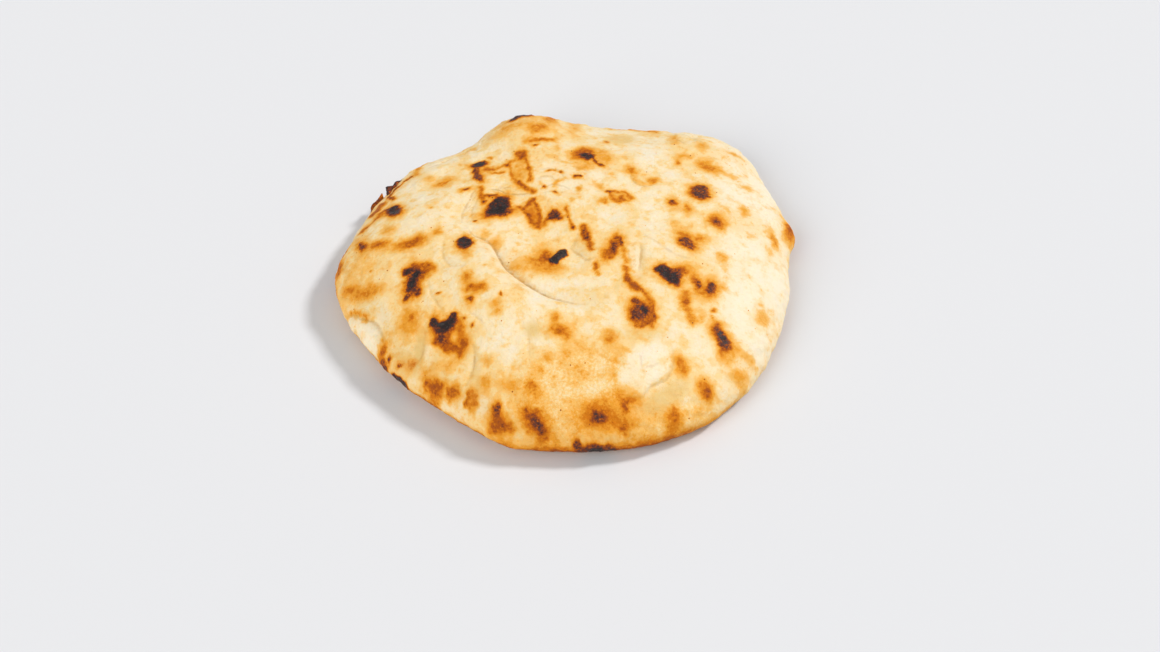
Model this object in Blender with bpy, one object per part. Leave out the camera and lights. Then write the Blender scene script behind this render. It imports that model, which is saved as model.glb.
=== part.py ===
"""Lepinja flatbread: one solid piece of dough, puffed and fallen back into a low uneven dome.

Metres, +Z up. The bread rests on Z = 0, and the origin is under the middle of its plan.
+X points to the eater's right and +Y away from the eater.
"""

import math
from typing import NamedTuple

import bmesh
import bpy
import numpy as np

MM = 0.001
NODE_NAME = "lepinja"

# Plan of the rim: its radius in millimetres every 15 degrees, anticlockwise from +X.
RIM_RADII_MM = (
    110, 115, 120, 127, 118, 111, 110, 114,
    106, 111, 109, 110, 113, 108, 104, 103,
    105, 112, 113, 116, 118, 116, 112, 110,
)

# Steps round the rim in which the middle of the plan is looked for.
OUTLINE_STEPS = 1440

# A small knob of dough on the rim: where it stands, how wide it is and how far it stands out.
KNOB_ANGLE = math.radians(11)
KNOB_WIDTH = math.radians(5)
KNOB_HEIGHT = 4 * MM

# The puffed corner at the back left: its rim stands higher than elsewhere.
CORNER_ANGLE = math.radians(99)
CORNER_WIDTH = math.radians(11)
CORNER_LIFT = 8 * MM

# Section: a dome above the rim's widest line, and a tucked edge below it.
DOME_HEIGHT = 38 * MM
RIM_HEIGHT = 7 * MM
RIM_TUCK = 9 * MM
DOME_FLATNESS = 2.6
DOME_ROUNDNESS = 1.9

# Mesh: a flat box of cells, whose top, sides and underside become those of the bread.
TOP_CELLS = 56
SIDE_ROWS = 8
ROWS_BELOW_RIM = 3
SHOULDER = 0.88
STEPS_PER_SPAN = 24
BOX_SIZE = 2
FLAT = 1e-6


class Swell(NamedTuple):
    """A soft lump in the dome, or a hollow where the height is negative. Millimetres and degrees."""

    x: float
    y: float
    half_length: float
    half_width: float
    turn: float
    height: float


class Fold(NamedTuple):
    """A crease along a route over the dome. The lip stands on the route's right-hand side."""

    route: tuple
    depth: float
    width: float
    lip: float


SWELLS = (
    # The puffed corner at the back left, and the flatter back edge beside it.
    Swell(x=-18, y=92, half_length=24, half_width=19, turn=8, height=8),
    Swell(x=-50, y=88, half_length=13, half_width=9, turn=35, height=-1.5),
    Swell(x=30, y=92, half_length=30, half_width=18, turn=-5, height=-3),
    Swell(x=78, y=72, half_length=20, half_width=14, turn=-45, height=3),
    # The fallen basin in the middle, and the ridge that it fell away from.
    Swell(x=-10, y=-8, half_length=34, half_width=17, turn=-52, height=-4),
    Swell(x=-42, y=-30, half_length=32, half_width=13, turn=-48, height=2.5),
    # The soft ridge that runs from the middle to the right, and the hollow below it.
    Swell(x=42, y=-6, half_length=24, half_width=7, turn=-38, height=2),
    Swell(x=26, y=-24, half_length=12, half_width=8, turn=-60, height=-2),
    # The pillows of the front, with the pinched hollows between them.
    Swell(x=34, y=-82, half_length=17, half_width=10, turn=35, height=2.5),
    Swell(x=47, y=-98, half_length=13, half_width=7, turn=30, height=-4),
    Swell(x=-16, y=-61, half_length=8, half_width=7, turn=0, height=-2),
    Swell(x=-58, y=-62, half_length=13, half_width=9, turn=-20, height=-2),
    # The pillows of the back and the left.
    Swell(x=8, y=62, half_length=22, half_width=14, turn=0, height=2),
    Swell(x=-68, y=24, half_length=20, half_width=14, turn=10, height=2),
    Swell(x=-54, y=52, half_length=17, half_width=9, turn=25, height=-2),
    Swell(x=64, y=55, half_length=22, half_width=12, turn=40, height=-1.5),
)

FOLDS = (
    # The long crease across the middle, its near side the higher one.
    Fold(
        route=((-48, 4), (-40, -2), (-34, -9), (-29, -20), (-23, -30), (-14, -38), (-2, -47), (8, -50)),
        depth=3,
        width=5,
        lip=2.5,
    ),
    # The arc at the upper left, where the top skin tucks in.
    Fold(route=((-53, 10), (-50, 19), (-47, 30), (-42, 37)), depth=1.8, width=5, lip=-0.8),
    # The short ridge above the largest scorch.
    Fold(route=((-37, 35), (-29, 31), (-20, 28), (-10, 28)), depth=1.3, width=5, lip=0.8),
    # The pocket in the middle, and the pleat to the right of it.
    Fold(route=((5, -1), (2, -10), (6, -18), (14, -21)), depth=1.4, width=5, lip=0.8),
    Fold(route=((36, -10), (35, -20), (32, -31)), depth=1.6, width=5, lip=1),
    # The groove that turns the left rim up.
    Fold(route=((-109, -20), (-101, -31), (-92, -40), (-85, -50)), depth=2.6, width=5, lip=1.5),
    # The pleats of the front left.
    Fold(route=((-43, -63), (-44, -73), (-46, -81), (-50, -88)), depth=1.6, width=5, lip=0.8),
    # The edge of the raised patch at the front right.
    Fold(route=((48, -75), (44, -85), (36, -94), (24, -100)), depth=1.8, width=5, lip=1.2),
    # The flap folded over at the upper left rim.
    Fold(route=((-72, 65), (-60, 73), (-48, 79), (-38, 82)), depth=1.8, width=5, lip=0.8),
)


def bell(distance):
    """1 at no distance, falling smoothly to nothing at about two."""
    return np.exp(-(distance**2))


def angle_from(start, angle):
    """The shorter way round from one angle to another, in radians."""
    return np.mod(angle - start + math.pi, 2 * math.pi) - math.pi


def curve_between(before, start, end, after, t):
    """The point at share t from start to end, on the smooth curve through all four values."""
    bend = 2 * before - 5 * start + 4 * end - after
    turn = 3 * (start - end) + after - before
    return start + 0.5 * t * (end - before + t * (bend + t * turn))


def rim_radius(angle):
    """Radius of the rim at each angle, on one smooth closed curve through the named radii."""
    radii = np.array(RIM_RADII_MM) * MM
    count = len(radii)
    place = np.mod(angle, 2 * math.pi) / (2 * math.pi) * count
    step = np.floor(place).astype(int)
    t = place - step
    before, start, end, after = (radii[(step + k) % count] for k in (-1, 0, 1, 2))
    knob = KNOB_HEIGHT * bell(angle_from(KNOB_ANGLE, angle) / KNOB_WIDTH)
    return curve_between(before, start, end, after, t) + knob


def rim_height(angle):
    """Height of the rim's widest line at each angle."""
    return RIM_HEIGHT + CORNER_LIFT * bell(angle_from(CORNER_ANGLE, angle) / CORNER_WIDTH)


def plan_centre():
    """Middle of the rim's plan, seen from the pole that the radii start at."""
    angle = np.linspace(0, 2 * math.pi, OUTLINE_STEPS + 1)
    x = rim_radius(angle) * np.cos(angle)
    y = rim_radius(angle) * np.sin(angle)
    return (x.min() + x.max()) / 2, (y.min() + y.max()) / 2


def dome_share(reach):
    """Share of the dome's height that is left at a share of the rim's radius."""
    return (1 - reach**DOME_FLATNESS) ** (1 / DOME_ROUNDNESS)


def swell_height(swell, x, y):
    """Height in millimetres that one lump or hollow adds at a point of the plan."""
    turn = math.radians(swell.turn)
    along = (x - swell.x) * math.cos(turn) + (y - swell.y) * math.sin(turn)
    across = (y - swell.y) * math.cos(turn) - (x - swell.x) * math.sin(turn)
    return swell.height * bell(math.hypot(along / swell.half_length, across / swell.half_width))


def route_points(route):
    """Closely spaced points on the smooth curve through a fold's route."""
    stops = np.array((route[0], *route, route[-1]), dtype=float)
    shares = np.arange(STEPS_PER_SPAN)[:, None] / STEPS_PER_SPAN
    spans = [curve_between(*stops[k : k + 4], shares) for k in range(len(route) - 1)]
    return np.vstack((*spans, stops[-1:]))


def fold_height(fold, points, x, y):
    """Height in millimetres that one fold adds at a point of the plan."""
    gaps = np.hypot(points[:, 0] - x, points[:, 1] - y)
    nearest = int(np.argmin(gaps))
    ahead = points[min(nearest + 1, len(points) - 1)] - points[max(nearest - 1, 0)]
    side = ahead[1] * (x - points[nearest, 0]) - ahead[0] * (y - points[nearest, 1])
    distance = gaps[nearest] / fold.width
    fade = math.sin(math.pi * nearest / (len(points) - 1))
    groove = -fold.depth * bell(distance)
    lip = fold.lip * distance / 2 * math.exp(1 - distance / 2) if side > 0 else 0
    return fade * (groove + lip)


def relief(x, y, routes):
    """Height in millimetres of all lumps and folds together at a point of the plan."""
    swells = sum(swell_height(swell, x, y) for swell in SWELLS)
    folds = sum(fold_height(fold, points, x, y) for fold, points in zip(FOLDS, routes))
    return swells + folds


def polar_on_disc(u, v):
    """Share of the radius, and the angle, that a point of the unit square has on the disc."""
    if abs(u) >= abs(v):
        start = 0 if u >= 0 else math.pi
        lean = v / u if u else 0
        return abs(u), start + math.pi / 4 * lean
    start = math.pi / 2 if v > 0 else 3 * math.pi / 2
    return abs(v), start - math.pi / 4 * u / v


def section_point(row):
    """Reach, dome share and tuck share, row by row from the shoulder round the rim to the base."""
    rows_above = SIDE_ROWS - ROWS_BELOW_RIM
    if row <= rows_above:
        shoulder = math.asin(SHOULDER ** (DOME_FLATNESS / 2))
        turn = shoulder + (math.pi / 2 - shoulder) * row / rows_above
        reach = min(1, math.sin(turn) ** (2 / DOME_FLATNESS))
        return reach, dome_share(reach), 0
    turn = math.pi / 2 * (row - rows_above) / ROWS_BELOW_RIM
    return 1, 0, turn


def is_level(edge):
    """Whether both ends of an edge stand at one height."""
    low, high = (vertex.co.z for vertex in edge.verts)
    return abs(high - low) < FLAT


def box_of_cells():
    """A closed box about the origin, cut into the cells of the top, sides and underside."""
    cells = bmesh.new()
    bmesh.ops.create_cube(cells, size=BOX_SIZE)
    uprights = [e for e in cells.edges if not is_level(e)]
    bmesh.ops.subdivide_edges(cells, edges=uprights, cuts=SIDE_ROWS - 1, use_grid_fill=True)
    level = [e for e in cells.edges if is_level(e)]
    bmesh.ops.subdivide_edges(cells, edges=level, cuts=TOP_CELLS - 1, use_grid_fill=True)
    return cells


def shape_bread(cells):
    """Moves every vertex of the box to its place on the bread."""
    centre_x, centre_y = plan_centre()
    routes = [route_points(fold.route) for fold in FOLDS]
    for vertex in cells.verts:
        u, v, level = vertex.co
        ring, angle = polar_on_disc(u, v)
        radius = float(rim_radius(angle))
        row = round((0.5 - level / BOX_SIZE) * SIDE_ROWS)
        if row == 0:
            reach = ring * SHOULDER
            dome, turn = dome_share(reach), 0
        elif row == SIDE_ROWS:
            reach, dome, turn = ring, 0, math.pi / 2
        else:
            reach, dome, turn = section_point(row)
        distance = reach * (radius - RIM_TUCK * (1 - math.cos(turn)))
        x = distance * math.cos(angle) - centre_x
        y = distance * math.sin(angle) - centre_y
        rim = float(rim_height(angle))
        if turn:
            vertex.co = (x, y, rim * (1 - math.sin(turn)))
        else:
            top = DOME_HEIGHT + relief(x / MM, y / MM, routes) * MM
            vertex.co = (x, y, rim + (top - rim) * dome)


def make_bread():
    """The bread as one closed mesh, its flat base a single face."""
    cells = box_of_cells()
    shape_bread(cells)
    base = [f for f in cells.faces if all(v.co.z < FLAT for v in f.verts)]
    bmesh.ops.dissolve_faces(cells, faces=base, use_verts=True)
    bmesh.ops.recalc_face_normals(cells, faces=cells.faces)
    mesh = bpy.data.meshes.new(NODE_NAME)
    cells.to_mesh(mesh)
    cells.free()
    bread = bpy.data.objects.new(NODE_NAME, mesh)
    bread.data.shade_smooth()
    return bread


def crust_material():
    """Pale baked dough, matt."""
    material = bpy.data.materials.new("baked_dough")
    material.use_nodes = True
    shader = material.node_tree.nodes["Principled BSDF"]
    shader.inputs["Base Color"].default_value = (0.83, 0.66, 0.42, 1)
    shader.inputs["Roughness"].default_value = 0.75
    shader.inputs["Metallic"].default_value = 0
    return material


def main():
    """Clears the scene and builds the bread in its own collection."""
    for old in list(bpy.data.objects):
        bpy.data.objects.remove(old)
    parts = bpy.data.collections.new("lepinja_flatbread")
    bpy.context.scene.collection.children.link(parts)
    bread = make_bread()
    bread.data.materials.append(crust_material())
    parts.objects.link(bread)


main()
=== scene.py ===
"""Lepinja flatbread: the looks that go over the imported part.

Metres, +Z up. The bread lies on Z = 0 with the origin under the middle of its plan, +X to the
right of the photo and +Y away from the camera. Marks and creases are given on that plan in
millimetres, so they can be read off the photo one by one.
"""

import logging
import math
from dataclasses import dataclass
from enum import Enum

import bmesh
import bpy
import numpy as np
from mathutils import Matrix, Quaternion, Vector, noise
from mathutils.bvhtree import BVHTree


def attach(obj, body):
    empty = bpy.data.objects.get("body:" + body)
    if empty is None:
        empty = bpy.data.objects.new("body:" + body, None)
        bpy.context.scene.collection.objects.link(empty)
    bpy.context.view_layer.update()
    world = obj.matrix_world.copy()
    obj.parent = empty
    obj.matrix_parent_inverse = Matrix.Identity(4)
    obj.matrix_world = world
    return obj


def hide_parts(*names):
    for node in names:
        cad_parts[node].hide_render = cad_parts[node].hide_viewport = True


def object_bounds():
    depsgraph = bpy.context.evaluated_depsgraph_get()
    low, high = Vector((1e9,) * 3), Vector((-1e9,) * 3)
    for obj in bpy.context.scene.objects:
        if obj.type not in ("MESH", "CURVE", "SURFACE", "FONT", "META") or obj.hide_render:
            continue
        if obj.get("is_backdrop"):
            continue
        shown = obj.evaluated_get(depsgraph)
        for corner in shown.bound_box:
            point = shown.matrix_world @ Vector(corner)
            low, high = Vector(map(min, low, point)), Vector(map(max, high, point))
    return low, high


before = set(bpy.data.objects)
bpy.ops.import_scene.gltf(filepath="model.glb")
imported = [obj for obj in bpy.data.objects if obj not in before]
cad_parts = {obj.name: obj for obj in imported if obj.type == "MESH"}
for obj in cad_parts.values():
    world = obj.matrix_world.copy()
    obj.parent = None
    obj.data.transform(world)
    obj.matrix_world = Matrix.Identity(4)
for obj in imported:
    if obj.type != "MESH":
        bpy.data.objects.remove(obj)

logging.basicConfig(level=logging.INFO, format="%(message)s")
LOG = logging.getLogger("lepinja")

MM = 0.001
NODE = "lepinja"
# A distance well outside the bread, in metres.
FAR_OUT = 0.2
# Distance from the middle of the plan where the rim begins, in millimetres.
RIM_ZONE = 94.0
# How fast each finer layer of random values weakens, and how many times finer it is.
LAYER_FALLOFF = 1.0
LAYER_STEP = 2.0
# The middle value of a material's cloudy noise.
NOISE_MIDDLE = 0.5
UP = Vector((0, 0, 1))
Point = tuple[float, float]
Range = tuple[float, float]
Place = tuple[float, float, float]
Color = tuple[float, float, float]
Socket = bpy.types.NodeSocket


def smooth_step(low: float, high: float, value: np.ndarray) -> np.ndarray:
    """Eases from 0 to 1.

    Args:
        low: Value where the result leaves 0.
        high: Value where it reaches 1.
        value: Values to ease.

    Returns:
        Numbers from 0 to 1.
    """
    share = np.clip((value - low) / (high - low), 0, 1)
    return share * share * (3 - 2 * share)


class Tone(Enum):
    """How dark a mark is baked, from 0 for raw dough to 1 for charcoal."""

    FAINT = 0.12
    TAN = 0.22
    ORANGE = 0.35
    BROWN = 0.46
    DARK = 0.65
    CHAR = 0.89


@dataclass(frozen=True)
class Oval:
    """An oval on the plan.

    Attributes:
        x: Centre, in millimetres to the right.
        y: Centre, in millimetres away from the camera.
        length: Full length.
        width: Full width.
        turn: Turn of its length from +X, in degrees.
    """

    x: float
    y: float
    length: float
    width: float
    turn: float = 0

    def gap(self, plan: np.ndarray) -> np.ndarray:
        """Distance outside the oval's edge.

        Args:
            plan: Points on the plan, in millimetres, one row each.

        Returns:
            Millimetres outside the edge, negative inside it.
        """
        turn = math.radians(self.turn)
        dx = plan[:, 0] - self.x
        dy = plan[:, 1] - self.y
        along = (dx * math.cos(turn) + dy * math.sin(turn)) / (self.length / 2)
        across = (dy * math.cos(turn) - dx * math.sin(turn)) / (self.width / 2)
        return (np.hypot(along, across) - 1) * self.half_width()

    def half_width(self) -> float:
        """Distance from its middle to its nearest edge, in millimetres."""
        return min(self.length, self.width) / 2


@dataclass(frozen=True)
class Spot(Oval):
    """One baked mark, an oval on the plan.

    Attributes:
        tone: How dark its middle is baked.
        halo: Width of the softer browning round it, in millimetres.
    """

    tone: Tone = Tone.TAN
    halo: float = 2.0


@dataclass(frozen=True)
class Area(Oval):
    """A stretch of crust with a look of its own, such as palest cream, and a soft edge.

    Attributes:
        soft: Width of its soft edge, in millimetres.
        strength: Share of the look in its middle.
        edge: Distances between which the look ends, in widths of the soft edge.
    """

    soft: float = 4.0
    strength: float = 0.5
    edge: Range = (-0.5, 1)

    def share(self, plan: np.ndarray) -> np.ndarray:
        """Share of the look at each point of the plan, from 0 to 1."""
        return self.strength * (1 - smooth_step(*self.edge, self.gap(plan) / self.soft))


@dataclass(frozen=True)
class Streak:
    """One baked mark that follows a route over the plan.

    Attributes:
        route: The points that it passes through, in millimetres.
        width: Its full width.
        tone: How dark its middle is baked.
        halo: Width of the softer browning beside it, in millimetres.
    """

    route: tuple[Point, ...]
    width: float
    tone: Tone
    halo: float = 1.4

    def gap(self, plan: np.ndarray) -> np.ndarray:
        """Distance outside its edge at each point of the plan, in millimetres."""
        return Route(self.route).measure(plan).distance - self.half_width()

    def half_width(self) -> float:
        """Distance from its middle to its edge, in millimetres."""
        return self.width / 2


@dataclass(frozen=True)
class RimMark:
    """One baked mark on the side of the rim.

    Attributes:
        start: Angle where it begins, anticlockwise from +X, in degrees.
        end: Angle where it ends.
        low: Height of its lower edge, in millimetres.
        high: Height of its upper edge.
        tone: How dark its middle is baked.
        halo: Width of the softer browning round it, in millimetres.
    """

    start: float
    end: float
    low: float
    high: float
    tone: Tone
    halo: float = 2.0

    def gap(self, place: np.ndarray) -> np.ndarray:
        """Distance outside the mark's edge.

        Args:
            place: Points in millimetres, one row of X, Y and Z each.

        Returns:
            Millimetres outside the edge, negative inside it.
        """
        radius = np.hypot(place[:, 0], place[:, 1])
        middle = math.radians((self.start + self.end) / 2)
        angle = np.arctan2(place[:, 1], place[:, 0])
        off = np.abs(np.mod(angle - middle + math.pi, 2 * math.pi) - math.pi)
        half_arc = math.radians(self.end - self.start) / 2 * radius
        half_height = self.half_width()
        up = (place[:, 2] - self.low - half_height) / half_height
        oval_gap = (np.hypot(off * radius / half_arc, up) - 1) * np.minimum(half_arc, half_height)
        return np.maximum(oval_gap, RIM_ZONE - radius)

    def half_width(self) -> float:
        """Half its height, in millimetres."""
        return (self.high - self.low) / 2


@dataclass(frozen=True)
class Baking:
    """How a mark lies in the crust: a dark core, a halo round it and a faint wash.

    Attributes:
        core_edge: Width of the core's fading edge, as a share of the halo's width.
        core_depth: How far inside the mark the fading starts, in widths of that edge. The mark's
            tone is added to it.
        halo_tone: Darkest that a halo is baked.
        halo_share: The same, as a share of the mark's own tone.
        halo_end: Distances between which the halo ends, in halo widths.
        wash_tone: Darkest that a wash is baked.
        wash_share: The same, as a share of the mark's own tone.
        wash_reach: Reach of the wash, in millimetres.
        joining: How sharply overlapping marks join. The larger, the more the darkest one wins.
    """

    core_edge: float = 0.75
    core_depth: float = 0.4
    halo_tone: float = 0.34
    halo_share: float = 0.75
    halo_end: Range = (2, 4)
    wash_tone: float = 0.07
    wash_share: float = 0.18
    wash_reach: float = 7.0
    joining: float = 4

    def darkness(self, mark: Spot | Streak | RimMark, gap: np.ndarray) -> np.ndarray:
        """How dark one mark bakes the crust.

        Args:
            mark: The mark.
            gap: Distance outside its edge, in millimetres.

        Returns:
            0 for raw dough to 1 for charcoal.
        """
        tone = mark.tone.value
        outside = np.maximum(gap, 0)
        edge = self.core_edge * mark.halo
        inner = min(edge * (self.core_depth + tone), mark.half_width())
        core = tone * (1 - smooth_step(-inner, edge, gap))
        halo = min(self.halo_tone, self.halo_share * tone) * np.exp(-outside / mark.halo)
        halo = halo * (1 - smooth_step(*self.halo_end, gap / mark.halo))
        wash = min(self.wash_tone, self.wash_share * tone)
        wash = wash * np.exp(-((outside / self.wash_reach) ** 2))
        return np.maximum(np.maximum(core, halo), wash)


@dataclass(frozen=True)
class Measured:
    """Where points lie beside a route.

    Attributes:
        distance: Distance to the route, in millimetres.
        side: 1 on the route's right-hand side and -1 on its left.
        share: How far along the route the nearest place is, from 0 to 1.
    """

    distance: np.ndarray
    side: np.ndarray
    share: np.ndarray

    def fade(self, power: float) -> np.ndarray:
        """Share from 0 to 1 that dies out at both ends, the later the smaller the power."""
        return np.sin(math.pi * self.share) ** power


@dataclass(frozen=True)
class Route:
    """A smooth curve through points of the plan.

    Attributes:
        stops: The points that it passes through, in millimetres.
        steps: Number of straight pieces between two stops.
    """

    stops: tuple[Point, ...]
    steps: int = 4

    def points(self) -> np.ndarray:
        """Closely spaced points along the curve, one row of X and Y each."""
        ends = np.array((self.stops[0], *self.stops, self.stops[-1]), dtype=float)
        shares = np.arange(self.steps)[:, None] / self.steps
        spans = []
        for start in range(len(self.stops) - 1):
            # The usual cubic through q and r, whose slope there follows p to r and q to s.
            p, q, r, s = ends[start : start + 4]
            bend = 2 * p - 5 * q + 4 * r - s
            turn = 3 * (q - r) + s - p
            spans.append(q + 0.5 * shares * (r - p + shares * (bend + shares * turn)))
        return np.vstack((*spans, ends[-1:]))

    def measure(self, plan: np.ndarray) -> Measured:
        """Measures points against the curve.

        Args:
            plan: Points on the plan, in millimetres, one row each.

        Returns:
            Distance, side and share along for each point.
        """
        line = self.points()
        distance = np.full(len(plan), np.inf)
        side = np.ones(len(plan))
        share = np.zeros(len(plan))
        pieces = len(line) - 1
        for index in range(pieces):
            start = line[index]
            step = line[index + 1] - start
            offset = plan - start
            along = np.clip(offset @ step / (step @ step), 0, 1)
            away = offset - along[:, None] * step
            gap = np.hypot(away[:, 0], away[:, 1])
            nearer = gap < distance
            turn = step[1] * offset[:, 0] - step[0] * offset[:, 1]
            distance = np.where(nearer, gap, distance)
            side = np.where(nearer, np.where(turn >= 0, 1.0, -1.0), side)
            share = np.where(nearer, (index + along) / pieces, share)
        return Measured(distance, side, share)


@dataclass(frozen=True)
class Crease:
    """A sharp fold in the crust, with a thin line of painted shade along its bottom.

    Attributes:
        route: The points that it passes through, in millimetres.
        depth: How deep it is pressed in, in millimetres. Negative for a ridge.
        width: Half the width of the groove.
        lip: How strongly the crust swells up on the route's right-hand side. The swelling
            is two thirds of this high, in millimetres.
        reach: How far from the route the swelling goes.
        lip_scale: Steepness of the swelling's inner side.
        ends: Power by which the groove dies out at its ends.
        line_ends: The same for the line.
        line_zone: Distances from the route between which its line stops being followed.
        line_strength: Strength of the line for each millimetre of depth.
    """

    route: tuple[Point, ...]
    depth: float
    width: float = 1.1
    lip: float = 0.3
    reach: float = 4.0
    lip_scale: float = 2.2
    ends: float = 0.6
    line_ends: float = 0.5
    line_zone: Range = (1.4, 2.6)
    line_strength: float = 1.1

    def seam(self, plan: np.ndarray) -> tuple[np.ndarray, np.ndarray]:
        """Measures for the line.

        Args:
            plan: Points on the plan, in millimetres, one row each.

        Returns:
            Distance from the line, negative on its left-hand side, and the line's strength
            there, from 0 to 1.
        """
        found = Route(self.route).measure(plan)
        near = 1 - smooth_step(*self.line_zone, found.distance)
        strength = min(max(self.depth, 0) * self.line_strength, 1)
        return found.side * found.distance, strength * found.fade(self.line_ends) * near

    def height(self, plan: np.ndarray) -> np.ndarray:
        """Height that the crease adds.

        Args:
            plan: Points on the plan, in millimetres, one row each.

        Returns:
            Millimetres along the surface normal.
        """
        found = Route(self.route).measure(plan)
        groove = -self.depth * np.exp(-((found.distance / self.width) ** 2))
        # The swelling starts from nothing at the groove and is highest halfway to its reach.
        swell = found.distance / self.reach
        rise = self.lip_scale * swell * np.exp(-2 * swell**2)
        lip = np.where(found.side > 0, self.lip * rise, 0)
        return found.fade(self.ends) * (groove + lip)


@dataclass(frozen=True)
class Scrap:
    """A charred scrap of crust that stands out of the rim, as a tapering strip along a path.

    Attributes:
        path: Centre of the strip at each stop, in millimetres.
        breadths: Full width at each stop.
        thickness: Full thickness in the middle.
        lean: Turn of its width from upright towards the outside, in degrees.
        tone: How dark its outer edge is baked.
        inner_tone: How dark its inner edge is baked.
        ring_size: Number of points round the strip.
        steps: Number of rings between two stops.
        crumbling: Share by which its surface is uneven.
        lumps_along: Number of lumps in each millimetre of its path.
        lumps_round: Number of lumps in half its breadth.
        taper: Breadth below which the strip gets thinner too, in millimetres.
    """

    path: tuple[Place, ...]
    breadths: tuple[float, ...]
    thickness: float
    lean: float
    tone: Tone
    inner_tone: Tone
    ring_size: int = 12
    steps: int = 5
    crumbling: float = 0.35
    lumps_along: float = 0.9
    lumps_round: float = 1.3
    taper: float = 2.0

    def rings(self) -> list[tuple[Vector, Vector, float]]:
        """Places along the strip.

        Returns:
            Centre, direction and breadth of each ring, in millimetres.
        """
        knots = range(len(self.path))
        stops = np.linspace(0, len(self.path) - 1, (len(self.path) - 1) * self.steps + 1)
        axes = [np.interp(stops, knots, values) for values in zip(*self.path)]
        places = [Vector(place) for place in zip(*(axis.tolist() for axis in axes))]
        breadths = np.interp(stops, knots, self.breadths)
        rows = []
        for index, (place, breadth) in enumerate(zip(places, breadths)):
            ahead = places[min(index + 1, len(places) - 1)]
            behind = places[max(index - 1, 0)]
            rows.append((place, (ahead - behind).normalized(), float(breadth)))
        return rows

    def build(self) -> tuple[bpy.types.Mesh, list[float]]:
        """Builds the strip.

        Returns:
            Its mesh, in metres, and how dark each vertex is baked.
        """
        strip = bmesh.new()
        toast = []
        previous = None
        lean = math.radians(self.lean)
        for place, along, breadth in self.rings():
            outside = Vector((place.x, place.y, 0)).normalized()
            across = UP * math.cos(lean) + outside * math.sin(lean)
            across = (across - along * across.dot(along)).normalized()
            turn = Matrix((along.cross(across), across, along)).transposed()
            thickness = self.thickness * min(breadth / self.taper, 1)
            ring = bmesh.ops.create_circle(strip, segments=self.ring_size, radius=1)["verts"]
            edges = list({edge for vertex in ring for edge in vertex.link_edges})
            for vertex in ring:
                share = 0.5 + 0.5 * vertex.co.y
                lump = noise.noise(place * self.lumps_along + vertex.co * self.lumps_round)
                spot = Vector((vertex.co.x * thickness, vertex.co.y * breadth, 0)) / 2
                vertex.co = (place + turn @ (spot * (1 + self.crumbling * lump))) * MM
                toast.append(self.inner_tone.value * (1 - share) + self.tone.value * share)
            if previous:
                bmesh.ops.bridge_loops(strip, edges=previous + edges)
            previous = edges
        bmesh.ops.holes_fill(strip, edges=strip.edges, sides=self.ring_size)
        bmesh.ops.recalc_face_normals(strip, faces=strip.faces)
        mesh = bpy.data.meshes.new("scrap")
        strip.to_mesh(mesh)
        strip.free()
        return mesh, toast


@dataclass(frozen=True)
class Unevenness:
    """Smooth random values over the surface, the same in every run.

    Attributes:
        size: Size of one swell, in millimetres.
        reach: About the largest value.
        shift: Moves to another part of the pattern.
        octaves: Number of finer layers.
        second_shift: Where the second value of a pair comes from, next to the first.
        slant: Way in which a shift goes.
    """

    size: float
    reach: float
    shift: float
    octaves: int = 3
    second_shift: float = 5.6
    slant: Place = (1.0, 0.7, 1.3)

    def pattern(self, place: np.ndarray, shift: float) -> np.ndarray:
        """Values of the plain pattern.

        Args:
            place: Points in millimetres, one row of X, Y and Z each.
            shift: Moves to another part of the pattern.

        Returns:
            Values from about -1 to 1.
        """
        offset = Vector([shift * part for part in self.slant])
        layers = (LAYER_FALLOFF, LAYER_STEP, self.octaves)
        return np.array([
            noise.fractal(Vector(point) / self.size + offset, *layers) for point in place.tolist()
        ])

    def over(self, place: np.ndarray) -> np.ndarray:
        """One value for each point in millimetres, from about -reach to reach."""
        return self.reach * self.pattern(place, self.shift)

    def drift(self, place: np.ndarray) -> np.ndarray:
        """A move over the plan for each point, in millimetres, which makes an edge wander."""
        shifts = (self.shift, self.shift + self.second_shift)
        return np.column_stack([self.pattern(place, shift) for shift in shifts]) * self.reach


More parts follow.
